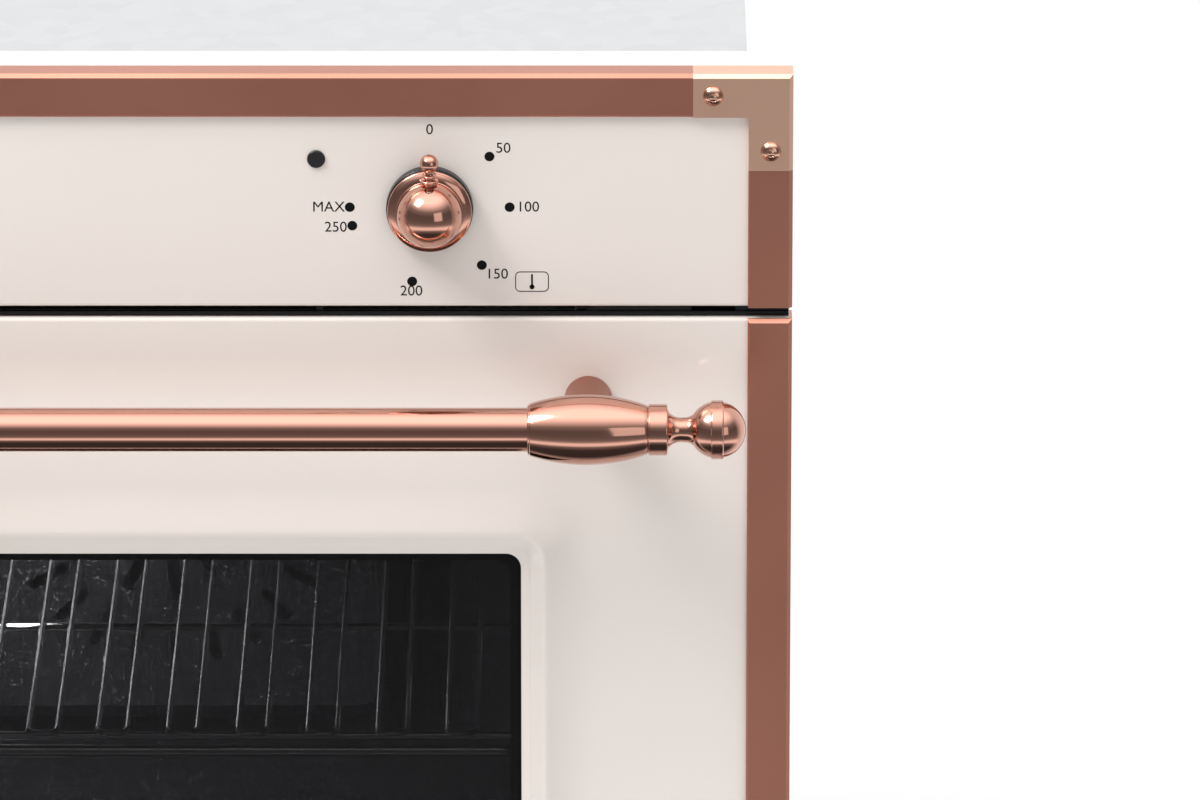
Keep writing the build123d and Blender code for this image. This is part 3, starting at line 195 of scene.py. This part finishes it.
by_slot = {
    "cream_enamel": cream,
    "copper": polished_copper,
    "light_copper": bracket_copper,
    "aged_copper": post_copper,
    "black_plastic": black,
    "switch_plastic": pale_plastic,
    "plated_steel": plated,
    "zinc_sheet": zinc,
    "dark_metal": vent_metal,
    "grey_enamel": enamel,
    "wool": wool,
    "seal_rubber": rubber,
    "chrome_wire": chrome,
    "element_steel": heater,
    "fan_aluminium": cast,
    "dark_glass": window,
    "clear_glass": pane,
}
by_node = {
    "panel_top_trim": strip_copper,
    "panel_side_trims": strip_copper,
    "door_side_trims": strip_copper,
    "door_bottom_trim": strip_copper,
    "glass_clamp_frame": frit,
}
slot_of = {entry["node"]: entry["material_slot"] for entry in frame["record"]["subparts"]}
for name, node in nodes.items():
    material = by_node.get(name, by_slot[slot_of[name]])
    node.data.materials.clear()
    node.data.materials.append(material)
    for polygon in node.data.polygons:
        polygon.material_index = 0


# Making meshes
def add_mesh(name, points, faces, material, body, slot, replaces=(), sharp=35.0):
    """points in millimetres; a smooth-shaded closed mesh with its sharp edges marked."""
    data = bpy.data.meshes.new(name)
    data.from_pydata([mm(*p) for p in points], [], faces)
    work = bmesh.new()
    work.from_mesh(data)
    bmesh.ops.remove_doubles(work, verts=work.verts, dist=1e-6)
    bmesh.ops.recalc_face_normals(work, faces=work.faces)
    work.to_mesh(data)
    work.free()
    data.shade_smooth()
    data.set_sharp_from_angle(angle=radians(sharp))
    data.materials.append(material)
    thing = bpy.data.objects.new(name, data)
    bpy.context.collection.objects.link(thing)
    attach(thing, body)
    if replaces:
        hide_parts(*replaces)
    return thing


def cut(thing, cutters, sharp=35.0):
    """Takes plain closed forms, each a (points, faces) pair, out of a mesh."""
    for form in cutters:
        data = bpy.data.meshes.new("cutter")
        data.from_pydata([mm(*p) for p in form[0]], [], form[1])
        work = bmesh.new()
        work.from_mesh(data)
        bmesh.ops.remove_doubles(work, verts=work.verts, dist=1e-6)
        bmesh.ops.recalc_face_normals(work, faces=work.faces)
        work.to_mesh(data)
        work.free()
        tool = bpy.data.objects.new("cutter", data)
        bpy.context.collection.objects.link(tool)
        change = thing.modifiers.new("cut", "BOOLEAN")
        change.object = tool
        change.solver = "EXACT"
        graph = bpy.context.evaluated_depsgraph_get()
        result = bpy.data.meshes.new_from_object(thing.evaluated_get(graph))
        thing.modifiers.clear()
        thing.data = result
        bpy.data.objects.remove(tool)
    thing.data.shade_smooth()
    thing.data.set_sharp_from_angle(angle=radians(sharp))


def block(x1, y1, z1, x2, y2, z2):
    points = [(x, y, z) for x in (x1, x2) for y in (y1, y2) for z in (z1, z2)]
    return points, [(0, 1, 3, 2), (4, 6, 7, 5), (0, 4, 5, 1), (2, 3, 7, 6), (0, 2, 6, 4), (1, 5, 7, 3)]


def turn(profile, place, segments=96):
    """Points and faces of a turned form.

    profile holds (along, radius) pairs, and place(along, a, b) gives a point.
    """
    points = []
    faces = []
    for along, radius in profile:
        for i in range(segments):
            angle = 2 * pi * i / segments
            points.append(place(along, radius * cos(angle), radius * sin(angle)))
    rows = len(profile)
    for j in range(rows - 1):
        for i in range(segments):
            k = (i + 1) % segments
            faces.append((j * segments + i, j * segments + k, (j + 1) * segments + k, (j + 1) * segments + i))
    return points, faces


def merged(*forms):
    points = []
    faces = []
    for more_points, more_faces in forms:
        start = len(points)
        points += more_points
        faces += [tuple(start + i for i in face) for face in more_faces]
    return points, faces


def arc(centre, radius, start, end, count):
    """(along, radius) pairs on a circle round centre, angles in degrees from the axis's direction."""
    c, r0 = centre
    steps = [radians(start + (end - start) * i / count) for i in range(count + 1)]
    return [(c + radius * cos(a), r0 + radius * sin(a)) for a in steps]


def through(a, b, c, count):
    """(along, radius) pairs on the circle through three such points."""
    (x1, y1), (x2, y2), (x3, y3) = a, b, c
    d = 2 * (x1 * (y2 - y3) + x2 * (y3 - y1) + x3 * (y1 - y2))
    ux = ((x1**2 + y1**2) * (y2 - y3) + (x2**2 + y2**2) * (y3 - y1) + (x3**2 + y3**2) * (y1 - y2)) / d
    uy = ((x1**2 + y1**2) * (x3 - x2) + (x2**2 + y2**2) * (x1 - x3) + (x3**2 + y3**2) * (x2 - x1)) / d
    radius = sqrt((x1 - ux) ** 2 + (y1 - uy) ** 2)
    first = atan2(y1 - uy, x1 - ux)
    last = atan2(y3 - uy, x3 - ux)
    if last - first > pi:
        last -= 2 * pi
    if first - last > pi:
        last += 2 * pi
    steps = [first + (last - first) * i / count for i in range(count + 1)]
    return [(ux + radius * cos(s), uy + radius * sin(s)) for s in steps]


def mirrored(form):
    points, faces = form
    return [(-x, y, z) for x, y, z in points], [tuple(reversed(face)) for face in faces]


# Knobs
DOME = 14.89
DOME_LEVEL = 12.11
SKIRT = 19.05


def knob_profile():
    """(distance off the panel, radius) pairs of the knob, from its back to its top."""
    rows = [(5.65, 0.0), (5.65, SKIRT - 1.0)]
    rows += arc((6.65, SKIRT - 1.0), 1.0, 180, 90, 6)
    rows += arc((6.9, SKIRT - 1.1), 1.1, 90, 35, 6)
    rows += through((7.85, 18.45), (8.75, 17.0), (9.35, 15.35), 8)
    rows += [(9.35, 14.9), (9.6, 14.7)]
    start = 180 - 180 / pi * acos((DOME_LEVEL - 10.1) / DOME)
    rows += arc((DOME_LEVEL, 0.0), DOME, start, 0, 40)
    return rows


def pointer_profile():
    rows = [(12.0, 0.0), (12.0, 3.3), (15.2, 3.3)]
    rows += arc((15.9, 3.55), 0.75, 200, -10, 8)
    rows += [(16.9, 2.65), (17.6, 2.6)]
    rows += arc((18.3, 2.75), 0.6, 170, 10, 6)
    rows += [(19.2, 2.3), (20.2, 2.15)]
    rows += arc((24.2, 0.0), 4.28, 149, 0, 20)
    return rows


def on_knob(x):
    return lambda along, a, b: (x + a, FACE - along, KNOB_Z + b)


def on_pointer(x):
    return lambda along, a, b: (x + a, FACE - 12.2 - b, KNOB_Z + along)


def on_grub(x):
    return lambda along, a, b: (x + a, FACE - 18.0 - b, KNOB_Z + along)


grub_rows = [(11.0, 0.0), (12.0, 0.0), (12.0, 0.85), (13.1, 0.95)]
grub_rows += [(13.1, 1.55), (12.8, 1.75), (11.0, 1.75), (11.0, 0.0)]
grub_hole_rows = [(11.0, 0.0), (11.0, 2.15), (16.0, 2.15), (16.0, 0.0)]
for side, body, knob, pointer in (
    (1, "thermostat_control", "thermostat_knob", "thermostat_pointer"),
    (-1, "selector_control", "selector_knob", "selector_pointer"),
):
    x = side * KNOB_X
    form = turn(knob_profile(), on_knob(x), 128)
    turned = add_mesh(f"{knob}_turned", *form, polished_copper, body, "copper", [knob])
    cut(turned, [turn(grub_hole_rows, on_grub(x), 32)])
    form = turn(pointer_profile(), on_pointer(x), 64)
    add_mesh(f"{pointer}_turned", *form, polished_copper, body, "copper", [pointer])
    add_mesh(f"{knob}_grub_screw", *turn(grub_rows, on_grub(x), 32), rivet_copper, body, "copper")

bezel_rows = [(0.0, 6.0), (5.2, 6.0), (5.2, 18.8)] + arc((4.4, 18.8), 0.8, 0, 90, 6)
bezel_rows += [(0.4, 19.6), (0.0, 19.3), (0.0, 6.0)]
add_mesh(
    "bezels_turned",
    *merged(turn(bezel_rows, on_knob(KNOB_X), 96), turn(bezel_rows, on_knob(-KNOB_X), 96)),
    black,
    "housing",
    "black_plastic",
    ["knob_bezels"],
)


# Handle
def on_handle(along, a, b):
    return (along, HANDLE_Y + a, HANDLE_Z + b)


barrel_rows = [(178.0, 10.0), (178.0, 10.6)] + arc((178.9, 10.6), 0.9, 180, 90, 5)
barrel_rows += through((179.2, 11.9), (205.3, 15.9), (231.6, 11.2), 40)
barrel_rows += [(232.3, 10.7), (232.5, 10.7)] + arc((233.0, 11.1), 0.5, 180, 90, 4)
barrel_rows += arc((240.4, 11.0), 0.6, 90, 0, 4) + [(241.0, 0.0), (178.2, 0.0), (178.0, 10.0)]
barrel = turn(barrel_rows, on_handle, 112)
barrels = merged(barrel, mirrored(barrel))
add_mesh("barrels_turned", *barrels, polished_copper, "door", "copper", ["handle_barrels"])

finial_rows = [(240.9, 0.0), (240.9, 8.9)]
finial_rows += through((241.2, 9.0), (244.1, 6.2), (248.5, 5.7), 14)
finial_rows += through((248.6, 5.7), (251.0, 6.1), (252.0, 6.7), 8)
finial_rows += arc((263.3, 0.0), 12.88, 180 - 180 / pi * asin(7.0 / 12.88), 103, 18)
finial_rows += [(260.5, 13.05)] + arc((261.2, 12.7), 0.65, 150, 90, 4) + arc((265.4, 12.7), 0.65, 90, 30, 4)
finial_rows += arc((263.3, 0.0), 12.88, 77, 0, 30)
finial = turn(finial_rows, on_handle, 112)
finials = merged(finial, mirrored(finial))
add_mesh("finials_turned", *finials, polished_copper, "door", "copper", ["handle_finials"])

tube_rows = [(-190.0, 8.8), (-190.0, 9.98), (190.0, 9.98), (190.0, 8.8), (-190.0, 8.8)]
add_mesh("tube_drawn", *turn(tube_rows, on_handle, 112), polished_copper, "door", "copper", ["handle_tube"])

# Rivets, each with a set-in flat on its dome
rivet_rows = [(-0.9, 0.0), (-0.9, 4.55), (0.0, 4.6)] + through((0.05, 4.6), (1.55, 3.5), (2.25, 2.1), 10)
rivet_rows += [(2.3, 1.95), (2.1, 1.75), (2.15, 1.6), (2.45, 1.2), (2.58, 0.0)]


def rivet(x, z):
    return turn(rivet_rows, lambda along, a, b: (x + a, FACE - 3.2 - along, z + b), 48)


from_corner = ((36, 10), (10, 36))
for body, corner, down, node in (("housing", TOP, 1, "panel_rivets"), ("door", 5.0, -1, "door_rivets")):
    spots = [
        (s * (WIDTH / 2 - across), corner - down * drop)
        for s in (-1, 1)
        for across, drop in from_corner
    ]
    form = merged(*[rivet(x, z) for x, z in spots])
    add_mesh(f"{node}_domed", *form, rivet_copper, body, "light_copper", [node])


# Door skin: rings of points from the window's edge, over the moulding, round the pan and back inside
def ring(grow, corner, level, count=14):
    """Points on a rounded rectangle round the window; level is the height above the flat face."""
    half_w = WINDOW_W / 2 + grow
    half_h = WINDOW_H / 2 + grow
    points = []
    for cx, cz, start in (
        (half_w - corner, half_h - corner, 0),
        (-half_w + corner, half_h - corner, 90),
        (-half_w + corner, -half_h + corner, 180),
        (half_w - corner, -half_h + corner, 270),
    ):
        for i in range(count + 1):
            angle = radians(start + 90 * i / count)
            points.append((cx + corner * cos(angle), FACE - level, WINDOW_Z + cz + corner * sin(angle)))
    return points


def pan_ring(inset, y, count=14):
    """The same number of points round the door pan's outline."""
    half_w = WIDTH / 2 - 1.0 - inset
    high = DOOR_TOP - inset
    low = PAN_LOW + inset
    span = 60.0
    middle = count // 2
    points = []
    for x, z, dx in ((half_w, high, 0), (-half_w, high, -1), (-half_w, low, 0), (half_w, low, 1)):
        sx = 1 if x > 0 else -1
        sz = 1 if z > DOOR_TOP / 2 else -1
        for i in range(count + 1):
            t = (middle - i) / middle
            if dx == 0:
                px, pz = (x, z - sz * span * t) if t > 0 else (x + sx * span * t, z)
            else:
                px, pz = (x - sx * span * t, z) if t > 0 else (x, z + sz * span * t)
            points.append((px, y, pz))
    return points


# (distance out from the window, corner radius, height above the flat face)
moulding = [(0.0, 7.0, 0.2), (0.0, 7.0, 1.0), (0.25, 7.2, 1.25), (3.9, 9.2, 1.45)]
moulding += [(4.3, 9.5, 1.8), (4.3, 9.5, 2.2), (4.7, 9.8, 2.5)]
moulding += [(9.3, 12.2, 5.9), (9.75, 12.5, 6.3), (10.3, 13.2, 6.5), (11.2, 13.9, 6.45), (12.2, 14.6, 6.05)]
for i in range(1, 13):
    t = i / 12
    moulding.append((12.2 + 20.2 * t, 14.6 + 13.4 * t, 6.05 * (1 - t) ** 2.0))
rows = [ring(*row) for row in moulding]
rows.append(pan_ring(2.0, FACE))
for i in range(1, 7):
    angle = radians(15 * i)
    rows.append(pan_ring(2.0 - 2.0 * sin(angle), FACE + 2.0 - 2.0 * cos(angle)))
rows.append(pan_ring(0.0, FACE + 29.95))
rows.append(pan_ring(1.0, FACE + 29.95))
rows.append(pan_ring(1.0, FACE + 1.4))
rows.append(pan_ring(3.0, FACE + 1.0))
for grow, corner, level in reversed(moulding):
    rows.append(ring(grow, corner, level - 1.0 if grow > 0.3 else max(level - 1.0, -0.1)))
per_row = len(rows[0])
skin_points = [p for row in rows for p in row]
skin_faces = []
for j in range(len(rows)):
    below = (j + 1) % len(rows)
    for i in range(per_row):
        k = (i + 1) % per_row
        skin_faces.append((j * per_row + i, j * per_row + k, below * per_row + k, below * per_row + i))
skin = add_mesh("door_skin", skin_points, skin_faces, cream, "door", "cream_enamel", ["door_front"], 50.0)

# Slots in its foot that clear the hinge arms
notches = [block(x - 5.0, -252.5, 4.0, x + 5.0, -225.0, 9.0) for x in (-HINGE_X, HINGE_X)]
cut(skin, notches, 50.0)


# Wire shelf of round wire
def wire(points, radius, segments=16, closed=False):
    """A round wire along points in one level plane."""
    count = len(points)
    out_points = []
    out_faces = []
    for i, (x, y, z) in enumerate(points):
        before = points[i - 1] if i > 0 or closed else points[i]
        after = points[(i + 1) % count] if i < count - 1 or closed else points[i]
        dx, dy = after[0] - before[0], after[1] - before[1]
        length = sqrt(dx * dx + dy * dy)
        nx, ny = -dy / length, dx / length
        for j in range(segments):
            angle = 2 * pi * j / segments
            side = radius * cos(angle)
            out_points.append((x + nx * side, y + ny * side, z + radius * sin(angle)))
    for i in range(count if closed else count - 1):
        k = (i + 1) % count
        for j in range(segments):
            m = (j + 1) % segments
            out_faces.append((i * segments + j, i * segments + m, k * segments + m, k * segments + j))
    if not closed:
        out_faces.append(tuple(range(segments)))
        out_faces.append(tuple(reversed(range((count - 1) * segments, count * segments))))
    return out_points, out_faces


shelf_low, shelf_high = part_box("wire_shelf")
rim = 3.0
shelf_x = shelf_high[0] * 1000 - rim
shelf_front = shelf_low[1] * 1000 + rim
shelf_back = shelf_high[1] * 1000 - rim
shelf_z = shelf_low[2] * 1000 + rim
frame_points = []
for cx, cy, start in (
    (shelf_x - SHELF_CORNER, shelf_back - SHELF_CORNER, 0),
    (SHELF_CORNER - shelf_x, shelf_back - SHELF_CORNER, 90),
    (SHELF_CORNER - shelf_x, shelf_front + SHELF_CORNER, 180),
    (shelf_x - SHELF_CORNER, shelf_front + SHELF_CORNER, 270),
):
    for i in range(11):
        angle = radians(start + 9 * i)
        frame_points.append((cx + SHELF_CORNER * cos(angle), cy + SHELF_CORNER * sin(angle), shelf_z))
wires = [wire(frame_points, rim - 0.02, closed=True)]
for y in (shelf_front + 18.6, (shelf_front + shelf_back) / 2):
    wires.append(wire([(-shelf_x, y, shelf_z + 0.7), (shelf_x, y, shelf_z + 0.7)], 1.9))
for pin in range(HAIRPINS):
    x = (pin - (HAIRPINS - 1) / 2) * HAIRPIN_PITCH
    pin_path = [(x - HAIRPIN_HALF, shelf_back, shelf_z + 3.9)]
    for degrees in range(180, 361, 15):
        angle = radians(degrees)
        bend_y = shelf_front + 19.4 + HAIRPIN_HALF * sin(angle)
        pin_path.append((x + HAIRPIN_HALF * cos(angle), bend_y, shelf_z + 3.9))
    pin_path.append((x + HAIRPIN_HALF, shelf_back, shelf_z + 3.9))
    wires.append(wire(pin_path, 1.45, 12))
add_mesh("shelf_wires", *merged(*wires), chrome, "shelf", "chrome_wire", ["wire_shelf"])


# Prints on the panel
def flat(name, outlines, material=ink, body="housing", depth=PRINT_DEPTH):
    """Flat closed outlines on the panel's face, each a list of (x, z) points."""
    points = []
    faces = []
    for outline in outlines:
        start = len(points)
        points += [(x, FACE - depth, z) for x, z in outline]
        faces.append(tuple(range(start, start + len(outline))))
    data = bpy.data.meshes.new(name)
    data.from_pydata([mm(*p) for p in points], [], faces)
    data.materials.append(material)
    thing = bpy.data.objects.new(name, data)
    bpy.context.collection.objects.link(thing)
    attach(thing, body)
    return thing


def disc(x, z, radius, count=40):
    angles = [2 * pi * i / count for i in range(count)]
    return [(x + radius * cos(angle), z + radius * sin(angle)) for angle in angles]


def bar(x1, z1, x2, z2, wide):
    length = sqrt((x2 - x1) ** 2 + (z2 - z1) ** 2)
    nx, nz = -(z2 - z1) / length * wide / 2, (x2 - x1) / length * wide / 2
    return [(x1 + nx, z1 + nz), (x1 - nx, z1 - nz), (x2 - nx, z2 - nz), (x2 + nx, z2 + nz)]


def rounded_frame(x, z, width, height, corner, line):
    """A rounded rectangle drawn with a line, as short four-sided pieces."""
    def edge(w, h, r):
        out = []
        corners = ((w - r, h - r, 0), (r - w, h - r, 90), (r - w, r - h, 180), (w - r, r - h, 270))
        for cx, cz, start in corners:
            for i in range(7):
                angle = radians(start + 15 * i)
                out.append((x + cx + r * cos(angle), z + cz + r * sin(angle)))
        return out

    outer = edge(width / 2, height / 2, corner)
    inner = edge(width / 2 - line, height / 2 - line, corner - line)
    count = len(outer)
    return [[outer[i], outer[(i + 1) % count], inner[(i + 1) % count], inner[i]] for i in range(count)]


def label(text, x, z, cap=4.8):
    name = f"label_{text.strip()}_{len(text)}"
    data = bpy.data.curves.new(name, "FONT")
    data.body = text
    data.align_x = "CENTER"
    data.align_y = "CENTER"
    data.size = 0.001 * cap / 0.70
    data.resolution_u = 6
    data.materials.append(ink)
    thing = bpy.data.objects.new(name, data)
    bpy.context.collection.objects.link(thing)
    thing.location = mm(x, FACE - PRINT_DEPTH, z)
    thing.rotation_euler = (radians(90), 0, 0)
    bpy.context.view_layer.update()
    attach(thing, "housing")


def polar(radius, degrees, x=KNOB_X):
    return x + radius * sin(radians(degrees)), KNOB_Z + radius * cos(radians(degrees))


dots = [disc(*polar(DIAL_RADIUS, degrees), 2.25) for degrees in (48.5, 90.0, 139.5, 193.0, 256.0, 270.0)]
flat("scale_dots", dots)
for text, x, z in (
    ("0", 134.1, 568.4),
    ("50", 167.2, 559.7),
    ("100", 178.3, 532.0),
    ("150", 164.2, 500.3),
    ("200", 125.5, 492.3),
    ("250", 91.6, 522.5),
    ("MAX", 88.4, 532.0),
):
    label(text, x, z)
symbol = rounded_frame(180.0, 496.8, 15.2, 9.6, 2.2, 0.42)
symbol += [disc(180.0, 494.3, 1.15), bar(180.0, 494.3, 180.0, 500.0, 0.85), disc(180.0, 500.0, 0.42, 20)]
flat("thermometer_symbol", symbol)

# Selector marks, plain strokes for heat above, below and a fan
label("0 ", -KNOB_X + 0.6, 568.4)
marks = []
for degrees, kind in ((45, "t"), (90, "b"), (135, "tb"), (225, "f"), (270, "ft"), (315, "g")):
    marks.append(disc(*polar(30.0, degrees, -KNOB_X), 1.3, 24))
    cx, cz = polar(40.0, degrees, -KNOB_X)
    marks += rounded_frame(cx, cz, 10.0, 8.6, 1.2, 0.42)
    if "t" in kind:
        marks.append(bar(cx - 3.2, cz + 2.6, cx + 3.2, cz + 2.6, 0.6))
    if "b" in kind:
        marks.append(bar(cx - 3.2, cz - 2.6, cx + 3.2, cz - 2.6, 0.6))
    if "g" in kind:
        marks += [bar(cx - 3.0 + 1.5 * i, cz + 2.4, cx - 2.2 + 1.5 * i, cz + 1.2, 0.5) for i in range(4)]
    if "f" in kind:
        for angle in (radians(90), radians(210), radians(330)):
            marks.append(bar(cx, cz - 0.6, cx + 1.9 * cos(angle), cz - 0.6 + 1.9 * sin(angle), 0.7))
flat("selector_symbols", marks)

# Stage: a stand under the chassis, as the handle of the open door hangs below the base, and a pale floor
stand_material, _ = new_material("pale stand", (0.86, 0.86, 0.86), 0.7)
floor_data = bpy.data.meshes.new("floor")
floor_corners = [(x, y, -0.075) for x, y in ((-4, -4), (4, -4), (4, 0.72), (-4, 0.72))]
floor_data.from_pydata(floor_corners, [], [(0, 1, 2, 3)])
floor_data.materials.append(stand_material)
floor = bpy.data.objects.new("floor", floor_data)
bpy.context.collection.objects.link(floor)
stand_points, stand_faces = block(-278.0, CABINET + 4.0, -75.0, 278.0, 323.0, -0.02)
stand_data = bpy.data.meshes.new("stand")
stand_data.from_pydata([mm(*p) for p in stand_points], [], stand_faces)
stand_data.materials.append(stand_material)
stand = bpy.data.objects.new("stand", stand_data)
bpy.context.collection.objects.link(stand)
floor.visible_glossy = False
stand.visible_glossy = False

# World: white to the camera, bands of light and shade to everything else
world = bpy.data.worlds.new("studio")
bpy.context.scene.world = world
world.use_nodes = True
tree = world.node_tree
tree.nodes.clear()
output = tree.nodes.new("ShaderNodeOutputWorld")
mix = tree.nodes.new("ShaderNodeMixShader")
plain = tree.nodes.new("ShaderNodeBackground")
plain.inputs["Color"].default_value = (1, 1, 1, 1)
plain.inputs["Strength"].default_value = 1.0
lit = tree.nodes.new("ShaderNodeBackground")
lit.inputs["Strength"].default_value = 2.0
path = tree.nodes.new("ShaderNodeLightPath")
place = tree.nodes.new("ShaderNodeTexCoord")
split = tree.nodes.new("ShaderNodeSeparateXYZ")
scale = tree.nodes.new("ShaderNodeMapRange")
scale.inputs["From Min"].default_value = -1.0
scale.inputs["From Max"].default_value = 1.0
ramp = tree.nodes.new("ShaderNodeValToRGB")
bands = [
    ((height + 1) / 2, level / 2)
    for height, level in (
        (-1.0, 0.05),
        (-0.80, 0.06),
        (-0.66, 0.25),
        (-0.58, 1.3),
        (-0.50, 1.3),
        (-0.42, 0.45),
        (-0.33, 0.24),
        (-0.10, 0.16),
        (0.20, 0.14),
        (0.45, 0.30),
        (0.62, 0.9),
        (0.85, 2.0),
        (1.0, 2.0),
    )
]
elements = ramp.color_ramp.elements
for position, level in bands[2:]:
    elements.new(position)
for element, (position, level) in zip(elements, bands):
    element.position = position
    element.color = (level, level, level, 1)
tree.links.new(place.outputs["Generated"], split.inputs["Vector"])
tree.links.new(split.outputs["Z"], scale.inputs["Value"])
tree.links.new(scale.outputs["Result"], ramp.inputs["Fac"])
behind = tree.nodes.new("ShaderNodeMapRange")
behind.inputs["From Min"].default_value = -0.1
behind.inputs["From Max"].default_value = 0.4
blend = tree.nodes.new("ShaderNodeMix")
blend.data_type = "RGBA"
blend.inputs[7].default_value = (0.5, 0.5, 0.5, 1)
tree.links.new(split.outputs["Y"], behind.inputs["Value"])
tree.links.new(behind.outputs["Result"], blend.inputs["Factor"])
tree.links.new(ramp.outputs["Color"], blend.inputs[6])
tree.links.new(blend.outputs[2], lit.inputs["Color"])
tree.links.new(path.outputs["Is Camera Ray"], mix.inputs["Fac"])
tree.links.new(lit.outputs["Background"], mix.inputs[1])
tree.links.new(plain.outputs["Background"], mix.inputs[2])
tree.links.new(mix.outputs["Shader"], output.inputs["Surface"])


def area_light(name, at, aim, size, power, size_y=None):
    data = bpy.data.lights.new(name, "AREA")
    data.shape = "RECTANGLE"
    data.size = size
    data.size_y = size_y or size
    data.energy = power
    lamp = bpy.data.objects.new(name, data)
    bpy.context.collection.objects.link(lamp)
    lamp.location = at
    lamp.rotation_euler = (Vector(aim) - Vector(at)).to_track_quat("-Z", "Y").to_euler()


area_light("key", (-1.5, -1.15, 2.8), (0.1, -0.26, 0.35), 1.1, 66.0)
area_light("fill", (1.6, -2.6, 0.9), (0.1, -0.26, 0.35), 1.4, 5.0)
area_light("inside", (-0.15, -0.02, 0.34), (-0.13, 0.18, 0.22), 0.18, 3.5)

# Camera, pitched down at the upper right quarter
PITCH = radians(18.3)
target = Vector(mm(210.7, FACE, 440.5))
camera_data = bpy.data.cameras.new("camera")
camera_data.lens = 331.1
camera_data.clip_end = 50.0
camera = bpy.data.objects.new("camera", camera_data)
bpy.context.collection.objects.link(camera)
camera.location = target + 5.0 * Vector((0, -cos(PITCH), sin(PITCH)))
camera.rotation_euler = (radians(90) - PITCH, 0, 0)
bpy.context.scene.camera = camera
bpy.context.scene.view_settings.view_transform = "Standard"
